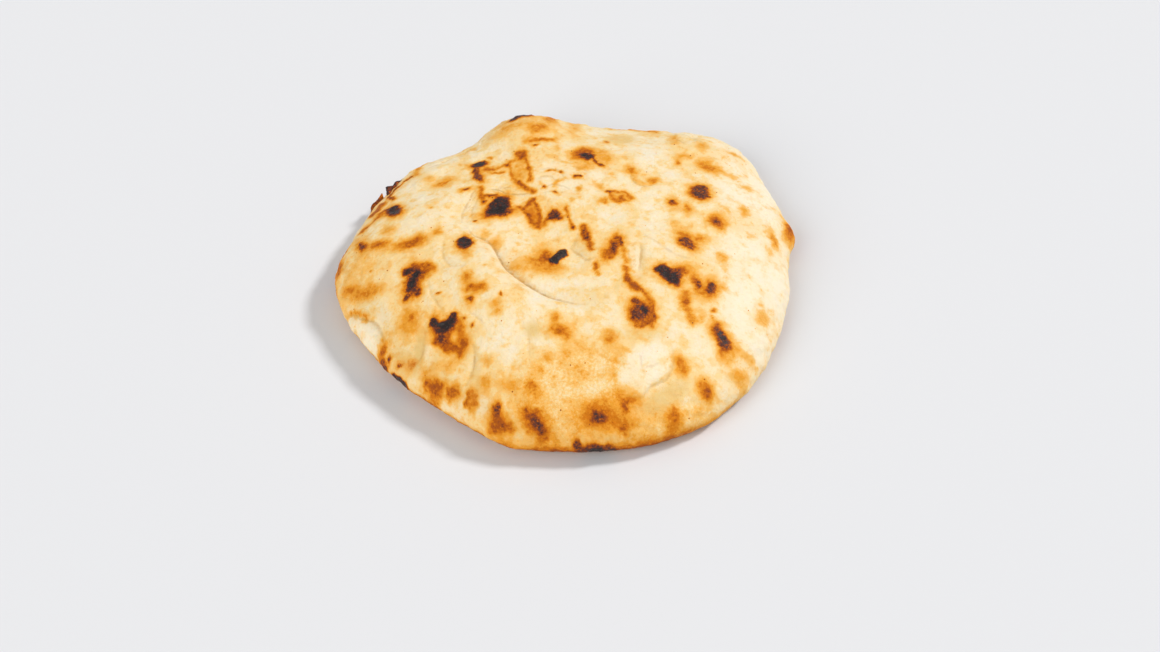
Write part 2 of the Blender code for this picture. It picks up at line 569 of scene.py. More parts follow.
# Marks on the back left quarter.
BACK_LEFT: tuple[Spot | Streak, ...] = (
    # The largest blotch, with the streak at its upper left.
    Spot(-32, 23.4, 15, 10, 62, Tone.CHAR, 2.0),
    Spot(-33, 19, 10, 7, 10, Tone.CHAR, 1.8),
    Spot(-32, 17.4, 15, 6, 4, Tone.DARK, 2.0),
    Streak(((-37.4, 30.6), (-33, 31.3)), 1.8, Tone.DARK, 1.2),
    Streak(((-41.5, 37), (-40.5, 32), (-40, 26)), 2.6, Tone.BROWN),
    Spot(-40, 26.5, 2.4, 3, 0, Tone.DARK, 1.2),
    Streak(((-39, 31), (-36, 31), (-33, 30)), 1.6, Tone.BROWN, 1.2),
    Spot(-48.5, 37.5, 3.4, 1.8, 15, Tone.DARK, 1.5),
    # The chain above it.
    Spot(-42.4, 59, 8.4, 6, 5, Tone.CHAR, 1.6),
    Streak(((-43.4, 54), (-43.4, 49), (-41.6, 44)), 3.8, Tone.DARK, 1.5),
    Streak(((-43, 45), (-41.5, 42)), 1.6, Tone.BROWN),
    Streak(((-39, 56), (-35, 53.5), (-31, 54), (-27, 54.5)), 1.8, Tone.ORANGE, 1.8),
    Spot(-37.5, 53.4, 6, 3.6, 0, Tone.BROWN, 1.2),
    Streak(((-36.8, 49.3), (-33.3, 49.1), (-30.3, 49.9)), 1.3, Tone.BROWN, 1.2),
    Spot(-28.8, 55, 3, 1.8, 0, Tone.DARK, 1),
    # The tear-shaped ring.
    Spot(-21.4, 61.6, 5.4, 7, 20, Tone.BROWN, 1.4),
    Streak(((-26.6, 57.4), (-23.8, 58.2), (-20.8, 57.6)), 1.6, Tone.ORANGE, 1.2),
    Streak(((-26.6, 57), (-27, 50), (-25.6, 44.4), (-22.6, 39.8)), 1.8, Tone.ORANGE, 1.2),
    Streak(((-19.4, 62), (-18.2, 54.2), (-16.8, 49.8)), 1.9, Tone.BROWN, 1.1),
    Streak(((-16.8, 49.8), (-16.3, 45), (-17, 40)), 1.9, Tone.BROWN, 1.1),
    Streak(((-22.6, 39.8), (-19.8, 35.8), (-16.8, 33), (-15, 32)), 3.0, Tone.BROWN, 1.2),
    Spot(-21.6, 49, 17, 8.4, 88, Tone.TAN, 1.4),
    # The puffed corner.
    Streak(((-25.6, 95), (-22.5, 97.4), (-17.5, 97.4)), 4.4, Tone.CHAR, 1.8),
    Spot(-6, 98, 16, 5, 85, Tone.ORANGE, 2),
    Spot(-16, 104, 12, 12, 0, Tone.TAN, 4),
    Spot(-30, 84, 12, 7, 30, Tone.TAN, 4),
    Spot(-13, 82, 8, 9, 70, Tone.ORANGE, 3),
    Spot(-20, 86, 22, 10, 0, Tone.FAINT, 5),
    Streak(((-18.5, 72.2), (-12.6, 72.4), (-5.5, 72.4)), 2.6, Tone.ORANGE, 2.0),
    Spot(-11, 72.8, 7, 1.8, 0, Tone.BROWN, 1.2),
    Spot(-13.8, 68.4, 3, 1.4, 0, Tone.DARK, 0.8),
    Spot(-3.5, 65, 2.4, 4, 0, Tone.TAN, 2),
    # The left side.
    Spot(-61, 48, 8, 6, 20, Tone.ORANGE, 3),
    Spot(-57, 50, 7, 4, 10, Tone.TAN, 3),
    Spot(-68, 54, 5, 3, -20, Tone.TAN, 2.5),
    Spot(-84.5, 32, 13, 8, -66, Tone.CHAR, 2.2),
    Spot(-100, 11, 8, 4.5, -75, Tone.DARK, 2.2),
    Spot(-91, 7, 7, 3.6, -20, Tone.BROWN, 2),
    Spot(-87, 17, 5, 6, 30, Tone.TAN, 2.4),
    Spot(-74, 2, 12, 6, 12, Tone.BROWN, 2.6),
    Spot(-80, 3, 6, 3, 20, Tone.ORANGE, 2.4),
    Spot(-62, 7, 3.6, 4.5, 0, Tone.ORANGE, 2),
    Streak(((-101, 27), (-96, 30), (-92, 34), (-88, 37)), 2.2, Tone.BROWN, 2),
    # Painted shade where the left rim folds under.
    Streak(((-110, 22), (-112, 12), (-111, 2)), 3.0, Tone.BROWN, 2.4),
    Streak(((-85.6, 45), (-87.6, 49.5), (-87.6, 54), (-85, 58.8)), 2.0, Tone.DARK, 1.1),
    Streak(((-85, 58.8), (-82, 61.6), (-78, 63.5)), 1.6, Tone.DARK, 1.1),
    Streak(((-95.6, 39), (-93.4, 42.5), (-92, 46.5)), 4.6, Tone.BROWN, 1.2),
    Streak(((-75, 63), (-74.5, 74), (-73, 82)), 1.6, Tone.ORANGE, 2),
    Spot(-46, 81, 3, 4, 0, Tone.TAN, 1.6),
    # The three-cornered ring and the spots beside it.
    Streak(((-15.5, 25.6), (-13.3, 18.6), (-12.4, 13), (-13.4, 7.2)), 2.2, Tone.BROWN, 1.0),
    Streak(((-23.3, 21.2), (-20.6, 19), (-18.2, 15.4)), 1.8, Tone.BROWN, 1.0),
    Streak(((-18.2, 15.4), (-16, 10.6), (-13.8, 6.8)), 1.8, Tone.BROWN, 1.0),
    Streak(((-20.6, 19.4), (-18.4, 21), (-16, 25.4)), 1.8, Tone.BROWN, 1.0),
    Spot(-15.6, 15.5, 16, 5.4, 104, Tone.ORANGE, 1.0),
    Spot(-4.8, 13.6, 5.6, 7, 0, Tone.DARK, 1.5),
    Spot(-5, 11.6, 9, 3.6, 8, Tone.DARK, 1.2),
    Streak(((-6, 12), (-9, 11), (-10.5, 8.5)), 1.6, Tone.BROWN, 1.4),
    Streak(((0.8, 18.3), (1.7, 13.3), (2.5, 8.5), (3.6, 4)), 1.3, Tone.BROWN, 1.2),
    Spot(3.8, 4.2, 2, 1.6, -30, Tone.DARK, 0.8),
    # Fine dots.
    Spot(-44, 12.5, 1.6, 1.6, 0, Tone.DARK, 0.8),
    Spot(-45.5, 17.5, 1.4, 1.6, 0, Tone.TAN, 0.8),
    Spot(-37, 64, 1.3, 1.5, 0, Tone.BROWN, 0.8),
    Spot(-65, 25, 1.3, 1.5, 0, Tone.TAN, 0.8),
    Streak(((-8.4, 46.2), (-6.3, 47.2), (-4.6, 47.1)), 1.2, Tone.BROWN, 0.9),
    Spot(-1.3, 45.5, 2.4, 1.5, -40, Tone.DARK, 0.8),
    Spot(-10.1, 34.6, 2.2, 2.2, -40, Tone.DARK, 1),
    Spot(-4.6, 29.4, 3, 1.5, -30, Tone.DARK, 0.9),
    Spot(-12, 37, 2, 2, 0, Tone.TAN, 1.2),
    Streak(((-4.8, 34.6), (-3.5, 37.3), (-1.5, 38.9)), 1.6, Tone.TAN, 1.1),
    Spot(-39, 2, 4, 6, 0, Tone.TAN, 2.5),
)

# Marks on the back right quarter.
BACK_RIGHT: tuple[Spot | Streak, ...] = (
    # The blotch with the dark tail.
    Spot(10, 60, 12, 9, 40, Tone.BROWN, 2.4),
    Spot(11.4, 57.6, 8, 6, 0, Tone.CHAR, 1.8),
    Streak(((13, 57), (16, 53.6), (19.6, 49.6)), 1.5, Tone.DARK, 1.2),
    Spot(19, 58, 9, 15, 20, Tone.TAN, 2.6),
    Spot(11, 50, 12, 7, 0, Tone.TAN, 3),
    Streak(((-1, 54), (2, 52), (6, 52)), 1.4, Tone.TAN, 1.6),
    # The pair joined by the edge of a pocket.
    Spot(33.5, 47, 4.5, 4.5, 0, Tone.ORANGE, 2),
    Spot(44, 38, 4.5, 4.5, 30, Tone.ORANGE, 1.8),
    Streak(((34, 43), (36, 37), (40, 35.5), (44, 36)), 1.4, Tone.TAN, 1.4),
    # The ragged ring in the middle.
    Streak(((21, 29), (24, 28.5), (29, 28), (32.5, 24)), 1.6, Tone.BROWN, 1.4),
    Streak(((22, 28), (24, 22.5), (27, 20.5), (30, 22)), 1.8, Tone.BROWN, 1.4),
    Spot(26.5, 25, 9, 8, 0, Tone.TAN, 2),
    Spot(27.5, 23.5, 3, 4, 0, Tone.BROWN, 1.4),
    Spot(21.5, 28.5, 3, 2.4, 0, Tone.DARK, 1.2),
    Spot(19, 21.5, 4, 3.5, 20, Tone.ORANGE, 1.8),
    Spot(18, 33, 3, 5, 40, Tone.TAN, 1.6),
    Spot(52.5, 21.5, 4, 5.5, 0, Tone.DARK, 2),
    Spot(59.5, 18, 3.6, 6, 0, Tone.ORANGE, 2),
    # The three dark ones on the right.
    Spot(67, 31.5, 13, 10, 75, Tone.DARK, 2.2),
    Spot(65.5, 28, 7, 6, 0, Tone.DARK, 2),
    Spot(70.6, 27.5, 2, 2, 0, Tone.CHAR, 1),
    Spot(73, 10, 9, 7.5, 80, Tone.BROWN, 2.4),
    Spot(73, 9.6, 5, 4.6, 80, Tone.DARK, 1.6),
    Streak(((57, 54), (57, 58), (60, 61.5), (64, 61)), 1.8, Tone.TAN, 2.2),
    Spot(57.5, 55, 3, 3.4, 0, Tone.ORANGE, 1.6),
    Spot(73, 54, 9, 6, -30, Tone.ORANGE, 3),
    Spot(79, 51, 8, 4, -20, Tone.TAN, 3),
    Spot(71, 58, 5, 3, 0, Tone.TAN, 2.4),
    Spot(91, 43, 4, 3, 0, Tone.TAN, 2.4),
    Spot(87.5, 22.5, 3.4, 5, 20, Tone.TAN, 2),
    Spot(101.5, 8, 3, 7.5, 10, Tone.ORANGE, 1.5),
    Spot(52, 6, 4, 5, 0, Tone.TAN, 2),
    Spot(32, 3, 4, 4, 0, Tone.FAINT, 2.4),
    Spot(24, 43, 3, 4, 0, Tone.TAN, 2),
    Streak(((6, 41.5), (8.6, 40.9)), 1.5, Tone.DARK, 0.9),
    Spot(7, 31, 2.4, 2.6, 0, Tone.ORANGE, 1.4),
    Spot(3.5, 23, 2, 3, 0, Tone.TAN, 1.4),
    # The far edge.
    Spot(57, 81, 4, 8, 0, Tone.TAN, 2.4),
    Spot(70, 72, 3, 5, 0, Tone.TAN, 2.4),
    Spot(22, 74, 2, 3, 0, Tone.BROWN, 1.2),
    Spot(29, 80, 12, 14, 0, Tone.FAINT, 4),
    Streak(((26, 103), (34, 100), (42, 97), (48, 95)), 2.0, Tone.ORANGE, 2.4),
    Spot(6, 94, 5, 16, 0, Tone.TAN, 3),
    Spot(88, 72, 6, 3, 0, Tone.TAN, 2),
    Spot(60, 99, 7, 4, -20, Tone.TAN, 3),
    Spot(110, 20, 5, 13, -15, Tone.ORANGE, 1.4),
    Spot(110.5, 22, 2.6, 7, -15, Tone.BROWN, 1.4),
)

# Marks on the front right quarter.
FRONT_RIGHT: tuple[Spot | Streak, ...] = (
    # The slanting mark at the middle.
    Streak(((8.5, 3.4), (9, 0), (10.4, -4)), 3.0, Tone.BROWN, 1.1),
    Streak(((10.4, -4), (11.6, -8), (12.4, -11)), 2.6, Tone.BROWN, 1.1),
    Spot(9.8, -2, 9, 4.4, -76, Tone.BROWN, 1.1),
    # The long mark left of the pleat.
    Spot(24.2, -7, 8.5, 6.5, 70, Tone.BROWN, 1.6),
    Spot(20.4, -15, 8.5, 7.5, 50, Tone.BROWN, 1.6),
    Spot(22.9, -11.6, 7.5, 4, 76, Tone.DARK, 1.5),
    Streak(((24.2, -4.6), (26.4, -6.4), (26.6, -10)), 1.6, Tone.DARK, 1.1),
    Spot(22, -11, 19, 9, 66, Tone.TAN, 3),
    Streak(((26.8, -9), (27.4, -13.6), (27.8, -18.4)), 1.4, Tone.ORANGE, 1.2),
    Spot(28.1, -20.4, 2.4, 2.6, 0, Tone.ORANGE, 1.1),
    Streak(((14.4, -21.6), (13.9, -24.6)), 2.4, Tone.BROWN, 1.1),
    Spot(14.6, -28.1, 2, 1.8, 0, Tone.BROWN, 0.9),
    # The tail that leads into the largest front blotch.
    Streak(((27.9, -24.1), (28.2, -28.7), (29, -33)), 2.4, Tone.BROWN, 1.2),
    Streak(((29, -33), (31.2, -36.8), (34, -39.6)), 2.6, Tone.BROWN, 1.2),
    Spot(31.4, -37, 4.6, 4, -30, Tone.BROWN, 1.2),
    Streak(((33, -39), (37, -43), (39.2, -49), (40, -56), (38, -61)), 2.0, Tone.BROWN, 1.4),
    Spot(34, -53.5, 16, 12, 90, Tone.BROWN, 2.4),
    Spot(33, -53, 11, 9, 60, Tone.DARK, 2.0),
    Spot(35, -51.5, 6, 4, 100, Tone.CHAR, 1.6),
    Spot(31, -46.5, 4, 4, 0, Tone.DARK, 2),
    Streak(((39.5, -52), (39, -57), (35.5, -60.5), (31, -61)), 1.4, Tone.BROWN, 1.0),
    # The black pair and the browning to their right.
    Spot(45.5, -27, 10, 8, -62, Tone.CHAR, 1.9),
    Spot(49.5, -32, 10, 7.5, -48, Tone.CHAR, 1.9),
    Spot(51.5, -28, 8, 5, -55, Tone.DARK, 2.0),
    Spot(54, -26, 5, 6, -20, Tone.BROWN, 2.4),
    Spot(61, -33, 5, 9, 10, Tone.BROWN, 2),
    Spot(61.5, -34, 3, 5, 10, Tone.DARK, 1.2),
    Spot(67, -36, 5.5, 10, -12, Tone.DARK, 2.6),
    Spot(68, -34, 3.5, 4, 0, Tone.DARK, 1.6),
    Spot(62, -39, 7, 4, -20, Tone.ORANGE, 2),
    Streak(((55.5, -40), (54.6, -46), (55.5, -52), (57.5, -56)), 3.4, Tone.ORANGE, 1.6),
    Spot(55, -45.5, 3.6, 4, 0, Tone.BROWN, 1.6),
    Streak(((57.5, -56), (61, -57), (61.5, -53)), 1.4, Tone.TAN, 1.4),
    Spot(67.5, -48.5, 2.2, 2.4, 0, Tone.BROWN, 1),
    Spot(67.5, -53, 1.2, 1.4, 0, Tone.BROWN, 0.8),
    Spot(70.5, -63, 14, 7.5, -68, Tone.DARK, 2.2),
    Spot(70.5, -62.5, 9, 5, -68, Tone.CHAR, 1.6),
    Spot(70.5, -71, 4, 6, 0, Tone.ORANGE, 2.2),
    # The one below the soft ridge.
    Spot(57.5, -8, 11, 7, -55, Tone.DARK, 1.9),
    Spot(56, -2, 7, 5, -30, Tone.ORANGE, 2.4),
    Spot(64, -4, 6, 3, 20, Tone.ORANGE, 2.2),
    Spot(74, -15, 5, 5.5, 0, Tone.TAN, 2.2),
    Spot(91, -11, 6, 3, 10, Tone.FAINT, 2.4),
    Spot(91, -44, 6, 9, -10, Tone.TAN, 2.4),
    Spot(98, 0, 5, 8, 0, Tone.FAINT, 3),
    # The front.
    Spot(18.5, -68, 5.5, 7, -10, Tone.ORANGE, 2.4),
    Spot(50.5, -80.5, 5, 7, 10, Tone.ORANGE, 2.4),
    Spot(53, -69, 4, 4, 0, Tone.FAINT, 2.4),
    Spot(61, -89, 6.5, 8, 0, Tone.ORANGE, 2.2),
    Spot(62, -90, 4, 4, 0, Tone.BROWN, 1.8),
    Spot(78, -79, 7, 4, 25, Tone.TAN, 2.4),
    Spot(83, -70, 4, 4, 25, Tone.FAINT, 2.4),
    Spot(12.5, -104.5, 10, 6, -5, Tone.DARK, 3.4),
    Spot(14, -103, 22, 12, 0, Tone.TAN, 3),
    Spot(24, -100, 4.5, 5, 0, Tone.BROWN, 2.4),
    Spot(27, -97.5, 6, 2.4, 10, Tone.ORANGE, 1.6),
    Spot(23, -107, 5, 3, 0, Tone.BROWN, 2),
    Spot(46, -102, 6, 6, 20, Tone.ORANGE, 3),
    Streak(((-1, -66), (3, -70), (6, -73), (9.5, -75)), 1.6, Tone.TAN, 2.4),
    Spot(3, -71, 12, 14, -30, Tone.FAINT, 3),
)

# Marks on the front left quarter.
FRONT_LEFT: tuple[Spot | Streak, ...] = (
    # The tallest blotch.
    Spot(-73, -24, 14, 6.4, 86, Tone.CHAR, 2.2),
    Spot(-72.6, -23.5, 18, 9, 84, Tone.BROWN, 2.0),
    Spot(-75.6, -16.6, 6, 5, -30, Tone.CHAR, 1.8),
    Spot(-71.6, -19.5, 6, 5, 90, Tone.CHAR, 1.8),
    Spot(-75.9, -31.6, 4.4, 4.4, 0, Tone.DARK, 1.8),
    Spot(-70.2, -30.6, 5, 5, 0, Tone.DARK, 1.8),
    Streak(((-73, -14.6), (-69, -15.8), (-65.5, -18.2)), 5.4, Tone.BROWN, 1.8),
    Spot(-67.8, -20.5, 5, 6, 0, Tone.BROWN, 1.8),
    Spot(-66.9, -19.8, 2.2, 1.8, 0, Tone.CHAR, 0.8),
    # The crown and its tail.
    Streak(((-62.3, -48.4), (-61.4, -50.8), (-57.8, -51.8)), 4.6, Tone.CHAR, 1.8),
    Streak(((-57.8, -51.8), (-54.2, -50.8), (-53, -49)), 4.6, Tone.CHAR, 1.8),
    Spot(-57.6, -53.6, 10, 6, 0, Tone.CHAR, 2),
    Spot(-58.4, -57.6, 4.4, 4, 0, Tone.DARK, 1.8),
    Spot(-53, -51.5, 6, 5, 60, Tone.DARK, 1.8),
    Spot(-58.4, -56.6, 10, 8, -60, Tone.BROWN, 1.8),
    Streak(((-57.4, -59.5), (-56, -62.2), (-53, -65), (-50.3, -67.6)), 4.6, Tone.BROWN, 1.8),
    Spot(-48.4, -63.2, 4.4, 6, 10, Tone.BROWN, 1.8),
    Spot(-50, -56, 4, 9, 15, Tone.ORANGE, 1.8),
    # The middle left.
    Spot(-48.3, -5, 11, 8.4, -75, Tone.CHAR, 1.9),
    Spot(-47, -14, 4, 8, 0, Tone.TAN, 2.4),
    Spot(-97, -19.5, 19, 6, -20, Tone.TAN, 3.4),
    Spot(-96.5, -20.5, 9, 4, -15, Tone.ORANGE, 2.6),
    Spot(-104, -15, 7, 3.4, -40, Tone.ORANGE, 2.6),
    Streak(((-104, -25), (-99, -29), (-95.5, -33)), 1.0, Tone.ORANGE, 1.6),
    Spot(-45, -36, 5, 4, 0, Tone.BROWN, 1.8),
    Spot(-40.5, -36.6, 5, 3, -10, Tone.BROWN, 1.8),
    Spot(-47, -30, 5, 7, 10, Tone.ORANGE, 2.4),
    Spot(-45.5, -43, 3.6, 4.6, 20, Tone.DARK, 2),
    # The toasted floor of the basin, and the bean beside it.
    Spot(-15, -20, 20, 12, -10, Tone.TAN, 3.6),
    Spot(-24, -21, 5, 5, 0, Tone.TAN, 3),
    Spot(-9.5, -14.5, 5, 7, -20, Tone.BROWN, 2.4),
    Streak(((-6.2, -17.6), (-4, -14.6), (-2, -12.2)), 4.6, Tone.CHAR, 0.7),
    Spot(-6.2, -17.8, 5.6, 5, 0, Tone.CHAR, 0.9),
    Spot(-1.8, -11.9, 5.4, 5.2, 0, Tone.CHAR, 0.6),
    # The turned-up left rim.
    Spot(-87.5, -52, 6.4, 3.6, 85, Tone.BROWN, 1.6),
    Spot(-84, -57, 2, 2, 0, Tone.DARK, 1.0),
    Spot(-78.5, -62.5, 2, 1.6, 0, Tone.DARK, 0.8),
    Spot(-73.1, -65.4, 6, 4, 0, Tone.ORANGE, 1.8),
    Spot(-78, -62, 8, 4, -25, Tone.TAN, 2.4),
    # The chain along the front edge.
    Streak(((-66.5, -75.5), (-63, -78), (-59.5, -79.6)), 3.4, Tone.BROWN, 1.6),
    Spot(-62, -81, 6, 4, -30, Tone.ORANGE, 1.6),
    Spot(-53.6, -83.4, 7.4, 5, -32, Tone.BROWN, 1.6),
    Streak(((-46.6, -86.6), (-47.2, -90.4)), 1.5, Tone.BROWN, 1.1),
    Spot(-44.8, -89.6, 8, 4.4, 96, Tone.ORANGE, 1.2),
    Spot(-33.6, -97, 6.4, 4, 95, Tone.DARK, 1.5),
    Spot(-33, -101.4, 9, 5, -24, Tone.BROWN, 1.7),
    Spot(-29.4, -103.8, 6, 3.4, -24, Tone.BROWN, 1.7),
    Spot(-15.4, -105.4, 10.5, 4.8, -38, Tone.DARK, 2.0),
    Spot(-16, -104.6, 15, 8, -34, Tone.ORANGE, 2.0),
    Spot(-55, -71.5, 8, 4, 0, Tone.TAN, 2.4),
    Spot(-65, -71, 6, 3, -10, Tone.TAN, 2),
    Spot(-39, -84, 4.5, 4.5, 0, Tone.TAN, 2),
    Spot(-27, -88, 6, 5, 0, Tone.TAN, 3),
    Spot(-17, -90, 4, 4.5, 0, Tone.ORANGE, 2),
    Spot(-14, -83, 3.6, 3, 0, Tone.TAN, 2),
    Spot(-37, -75, 5, 4, 0, Tone.TAN, 2),
    Spot(-10, -76, 3, 4, 0, Tone.TAN, 2),
    # The soft browning in between.
    Spot(-74, -45, 11, 13, 0, Tone.TAN, 3.6),
    Spot(-73, -43, 2.6, 3, 0, Tone.ORANGE, 1.4),
    Spot(-33, -47, 6, 4, 0, Tone.TAN, 2),
    Spot(-33.5, -51, 4, 2.4, 0, Tone.TAN, 1.8),
    Spot(-32.5, -3, 3.6, 5, 0, Tone.TAN, 2.2),
    Spot(-4, -63.5, 8, 5, -20, Tone.BROWN, 2.2),
    Spot(-6, -56.5, 3.6, 5, 0, Tone.ORANGE, 1.8),
    Spot(-1, -67, 3.4, 3.4, 0, Tone.ORANGE, 2),
    # Fine dots.
    Spot(-94, -10, 1, 1, 0, Tone.BROWN, 0.6),
    Spot(-61, -34, 1.6, 1.2, 0, Tone.DARK, 0.8),
    Spot(-31, -42, 1.4, 1.8, 0, Tone.DARK, 0.8),
    Spot(-48, -51.5, 1.2, 1.2, 0, Tone.DARK, 0.8),
    Spot(-44.5, -55, 1.6, 1.6, 0, Tone.DARK, 0.8),
    Spot(-39, -24, 1.2, 1.4, 0, Tone.TAN, 0.8),
    Spot(-21, -99.5, 2, 1.2, 0, Tone.DARK, 0.8),
    Spot(-23, -5, 1.4, 1.4, 0, Tone.TAN, 0.8),
    Spot(-50, -76, 1.2, 1.6, 0, Tone.TAN, 0.8),
    Spot(-8, -87, 1.4, 1.4, 0, Tone.TAN, 0.8),
)

# Marks on the side of the rim.
RIM: tuple[RimMark, ...] = (
    RimMark(270.6, 280.4, -3, 10.5, Tone.DARK, 1.6),
    RimMark(269.9, 272.3, 5, 12.4, Tone.DARK, 1.4),
    RimMark(272.6, 279, -3, 8.5, Tone.CHAR, 1.6),
    RimMark(256, 298, -4, 6.5, Tone.BROWN, 2.4),
    RimMark(246, 312, -4, 8.5, Tone.ORANGE, 2.4),
    RimMark(252, 288, -6, 14, Tone.FAINT, 5),
    RimMark(216, 223, 3, 9.5, Tone.CHAR, 1.0),
    RimMark(211.5, 214.5, 4, 12, Tone.DARK, 1.0),
    RimMark(205, 258, 0, 6, Tone.BROWN, 1.6),
    RimMark(144, 154, 5, 12, Tone.DARK, 2.4),
    RimMark(136, 143, 6, 13, Tone.DARK, 2),
    RimMark(168, 183, 3, 9, Tone.BROWN, 3),
    RimMark(8, 16, 3, 9, Tone.ORANGE, 2.0),
    RimMark(98, 104, 10, 20, Tone.DARK, 3),
    RimMark(60, 92, 0, 4, Tone.TAN, 4),
    RimMark(20, 56, 0, 3, Tone.TAN, 3),
    RimMark(310, 352, 0, 4, Tone.TAN, 2.5),
    RimMark(186, 205, 0, 4, Tone.TAN, 2.5),
)

# Route of the long fold across the middle.
LONG_FOLD: tuple[Point, ...] = (
    (-47, 6), (-44, 1.9), (-38, -2), (-34, -7.5), (-31, -16), (-26, -24.5),
    (-19.3, -32), (-13, -37.6), (-6, -43), (1, -46.4), (9, -48),
)

# The folds, wrinkles and edges in the crust.
CREASES: tuple[Crease, ...] = (
    Crease(LONG_FOLD, depth=1.2, width=1.3, lip=1.1, reach=6),
    # The fine creases in front of it.
    Crease(((-58.9, 0), (-58.8, -10), (-56.5, -17.5), (-52.6, -21.3), (-47, -22.6)), depth=0.4, lip=0.25),
    Crease(((-66, -23), (-64, -33), (-61, -40), (-58, -45)), depth=0.4, lip=0.2),
    Crease(((-46, -48), (-42, -52), (-39, -57)), depth=0.35, lip=0.2),
    # The arcs at the upper left.
    Crease(((-50.4, 11), (-49.7, 20.8), (-47.9, 26), (-45.4, 34), (-42, 40)), depth=0.6, lip=-0.3),
    Crease(((-45, 13), (-45.5, 20), (-44, 27), (-41.5, 33)), depth=0.35, lip=0.2),
    Crease(((-38, 36), (-33, 35.5), (-28, 32), (-22, 31), (-14, 31)), depth=0.8, lip=0.5),
    Crease(((-32, 38), (-27, 36), (-21, 32.5)), depth=0.4, lip=0.3),
    # The pocket, and the flap that stands beside the pleat.
    Crease(((5.8, 0.5), (4.8, -3.4), (3.2, -8.2)), depth=0.5, lip=-0.3),
    Crease(((1.4, -7.6), (6, -13.4), (10.2, -18), (14, -16.4)), depth=0.55, lip=-0.4),
    Crease(((35.8, -9.5), (35.5, -16.4), (34.8, -20), (34, -26)), depth=0.7, lip=0.9, reach=3.4),
    # The black bubble in the basin stands up.
    Crease(((-8, -20), (-6, -17.4), (-4, -14.6), (-2, -12), (0, -9.5)), depth=-1.4, width=2, lip=0),
    # The near side of the pleat, and the soft ridge on its right.
    Crease(((29.4, -12), (29.6, -18), (30.6, -25)), depth=0.3, lip=0.2),
    Crease(((36, -4), (44, -10), (51, -16), (59, -19)), depth=0.35, width=2, lip=-0.5),
    # The groove inside the left rim, and the pleats of the front.
    Crease(
        ((-107, -23), (-102.9, -27), (-98.7, -31.4), (-91.4, -38), (-88, -45), (-86.6, -50)),
        depth=0.6,
        width=1.4,
        lip=0.6,
    ),
    Crease(((-67, -52), (-67.4, -59), (-68.8, -64.3), (-73, -66)), depth=0.35, lip=-0.5),
    Crease(((-44, -64), (-43.5, -70), (-44.5, -77), (-48, -84)), depth=0.55, lip=0.4),
    Crease(((-18, -62), (-18.5, -70), (-18, -80)), depth=0.3, width=1.8, lip=0.2),
    # The edge of the pale patch at the front right.
    Crease(
        ((46, -70), (47.5, -78), (44.3, -86.7), (36, -92), (31.6, -96.6), (24.4, -96.4)),
        depth=0.4,
        lip=0.8,
        reach=4,
    ),
    Crease(((32.2, -77), (32.3, -81.2), (32.8, -85.4)), depth=0.3, lip=0.2),
    Crease(((33.6, -84.4), (37, -83.4), (41, -81.2)), depth=0.35, lip=0.2),
    # The wrinkled swirl at the back.
    Crease(((-12, 48), (-7, 49), (-2, 46), (0, 41)), depth=0.5, lip=0.3, reach=3),
    Crease(((-14, 40), (-10, 43), (-6, 42), (-4, 38)), depth=0.4, lip=0.3, reach=3),
    Crease(((-10, 34), (-6, 36), (-1, 35), (3, 31)), depth=0.4, lip=0.3, reach=3),
    Crease(((-11, 30), (-6, 31), (0, 29)), depth=0.35, lip=0.3, reach=3),
    Crease(((3, 50), (8, 48), (12, 44)), depth=0.3, lip=0.2, reach=3),
    # Fine wrinkles of the far side.
    Crease(((52, 88), (58, 80), (62, 72)), depth=0.35, lip=0.2),
    Crease(((60, 90), (66, 83), (72, 74)), depth=0.3, lip=0.2),
    Crease(((-70, 66), (-60, 73), (-48, 80)), depth=0.6, lip=0.4),
    Crease(((-50, 84), (-46, 80), (-44, 76)), depth=0.5, lip=0.2),
    # The edge of the pocket that joins a pair of marks.
    Crease(((33, 43), (35, 36), (40, 34), (46, 36)), depth=0.5, lip=0.3, reach=3),
)

# Where the crust is toasted in fine speckles.
HAZE: tuple[Area, ...] = (
    Area(4, -92, 56, 34, soft=10, strength=0.65),
    Area(-38, -84, 44, 16, -32, soft=10, strength=0.16),
    Area(-98, 4, 24, 40, 10, soft=12, strength=0.3),
    Area(44, -104, 40, 14, 15, soft=7, strength=0.5),
    Area(-14, -18, 26, 20, -20, soft=6, strength=0.35),
    Area(-22, 92, 34, 22, soft=9, strength=0.4),
    Area(-74, -50, 30, 24, -30, soft=9, strength=0.25),
)

# Where the crust is thin and damp, with a dull green-grey look, and where shade is painted into creases
# and beside raised flaps.
OLIVE_AND_SHADE: tuple[Area, ...] = (
    Area(-16.5, -62, 5, 6, soft=4, strength=0.9),
    Area(-69.6, -60, 13, 4, 78, soft=2.4, strength=0.9),
    Area(-76, -63, 12, 6, -35, soft=4, strength=0.5),
    # Painted shade beside the raised pale patch at the front right.
    Area(42, -95, 20, 6, 32, soft=3, strength=0.75),
    # Painted shade beside the ridge of the pleat.
    Area(36.2, -17, 13, 2.6, 92, soft=1.4, strength=0.5),
    Area(8, -9.5, 13, 9, -50, soft=2, strength=0.3),
    Area(29, 80, 12, 12, soft=5, strength=0.6),
    Area(33, -66, 18, 5, soft=4, strength=0.4),
    Area(8, -44, 16, 10, -20, soft=6, strength=0.3),
    # Painted shade in the crease at the front left.
    Area(-44, -74, 3, 18, 5, soft=3, strength=0.5),
)
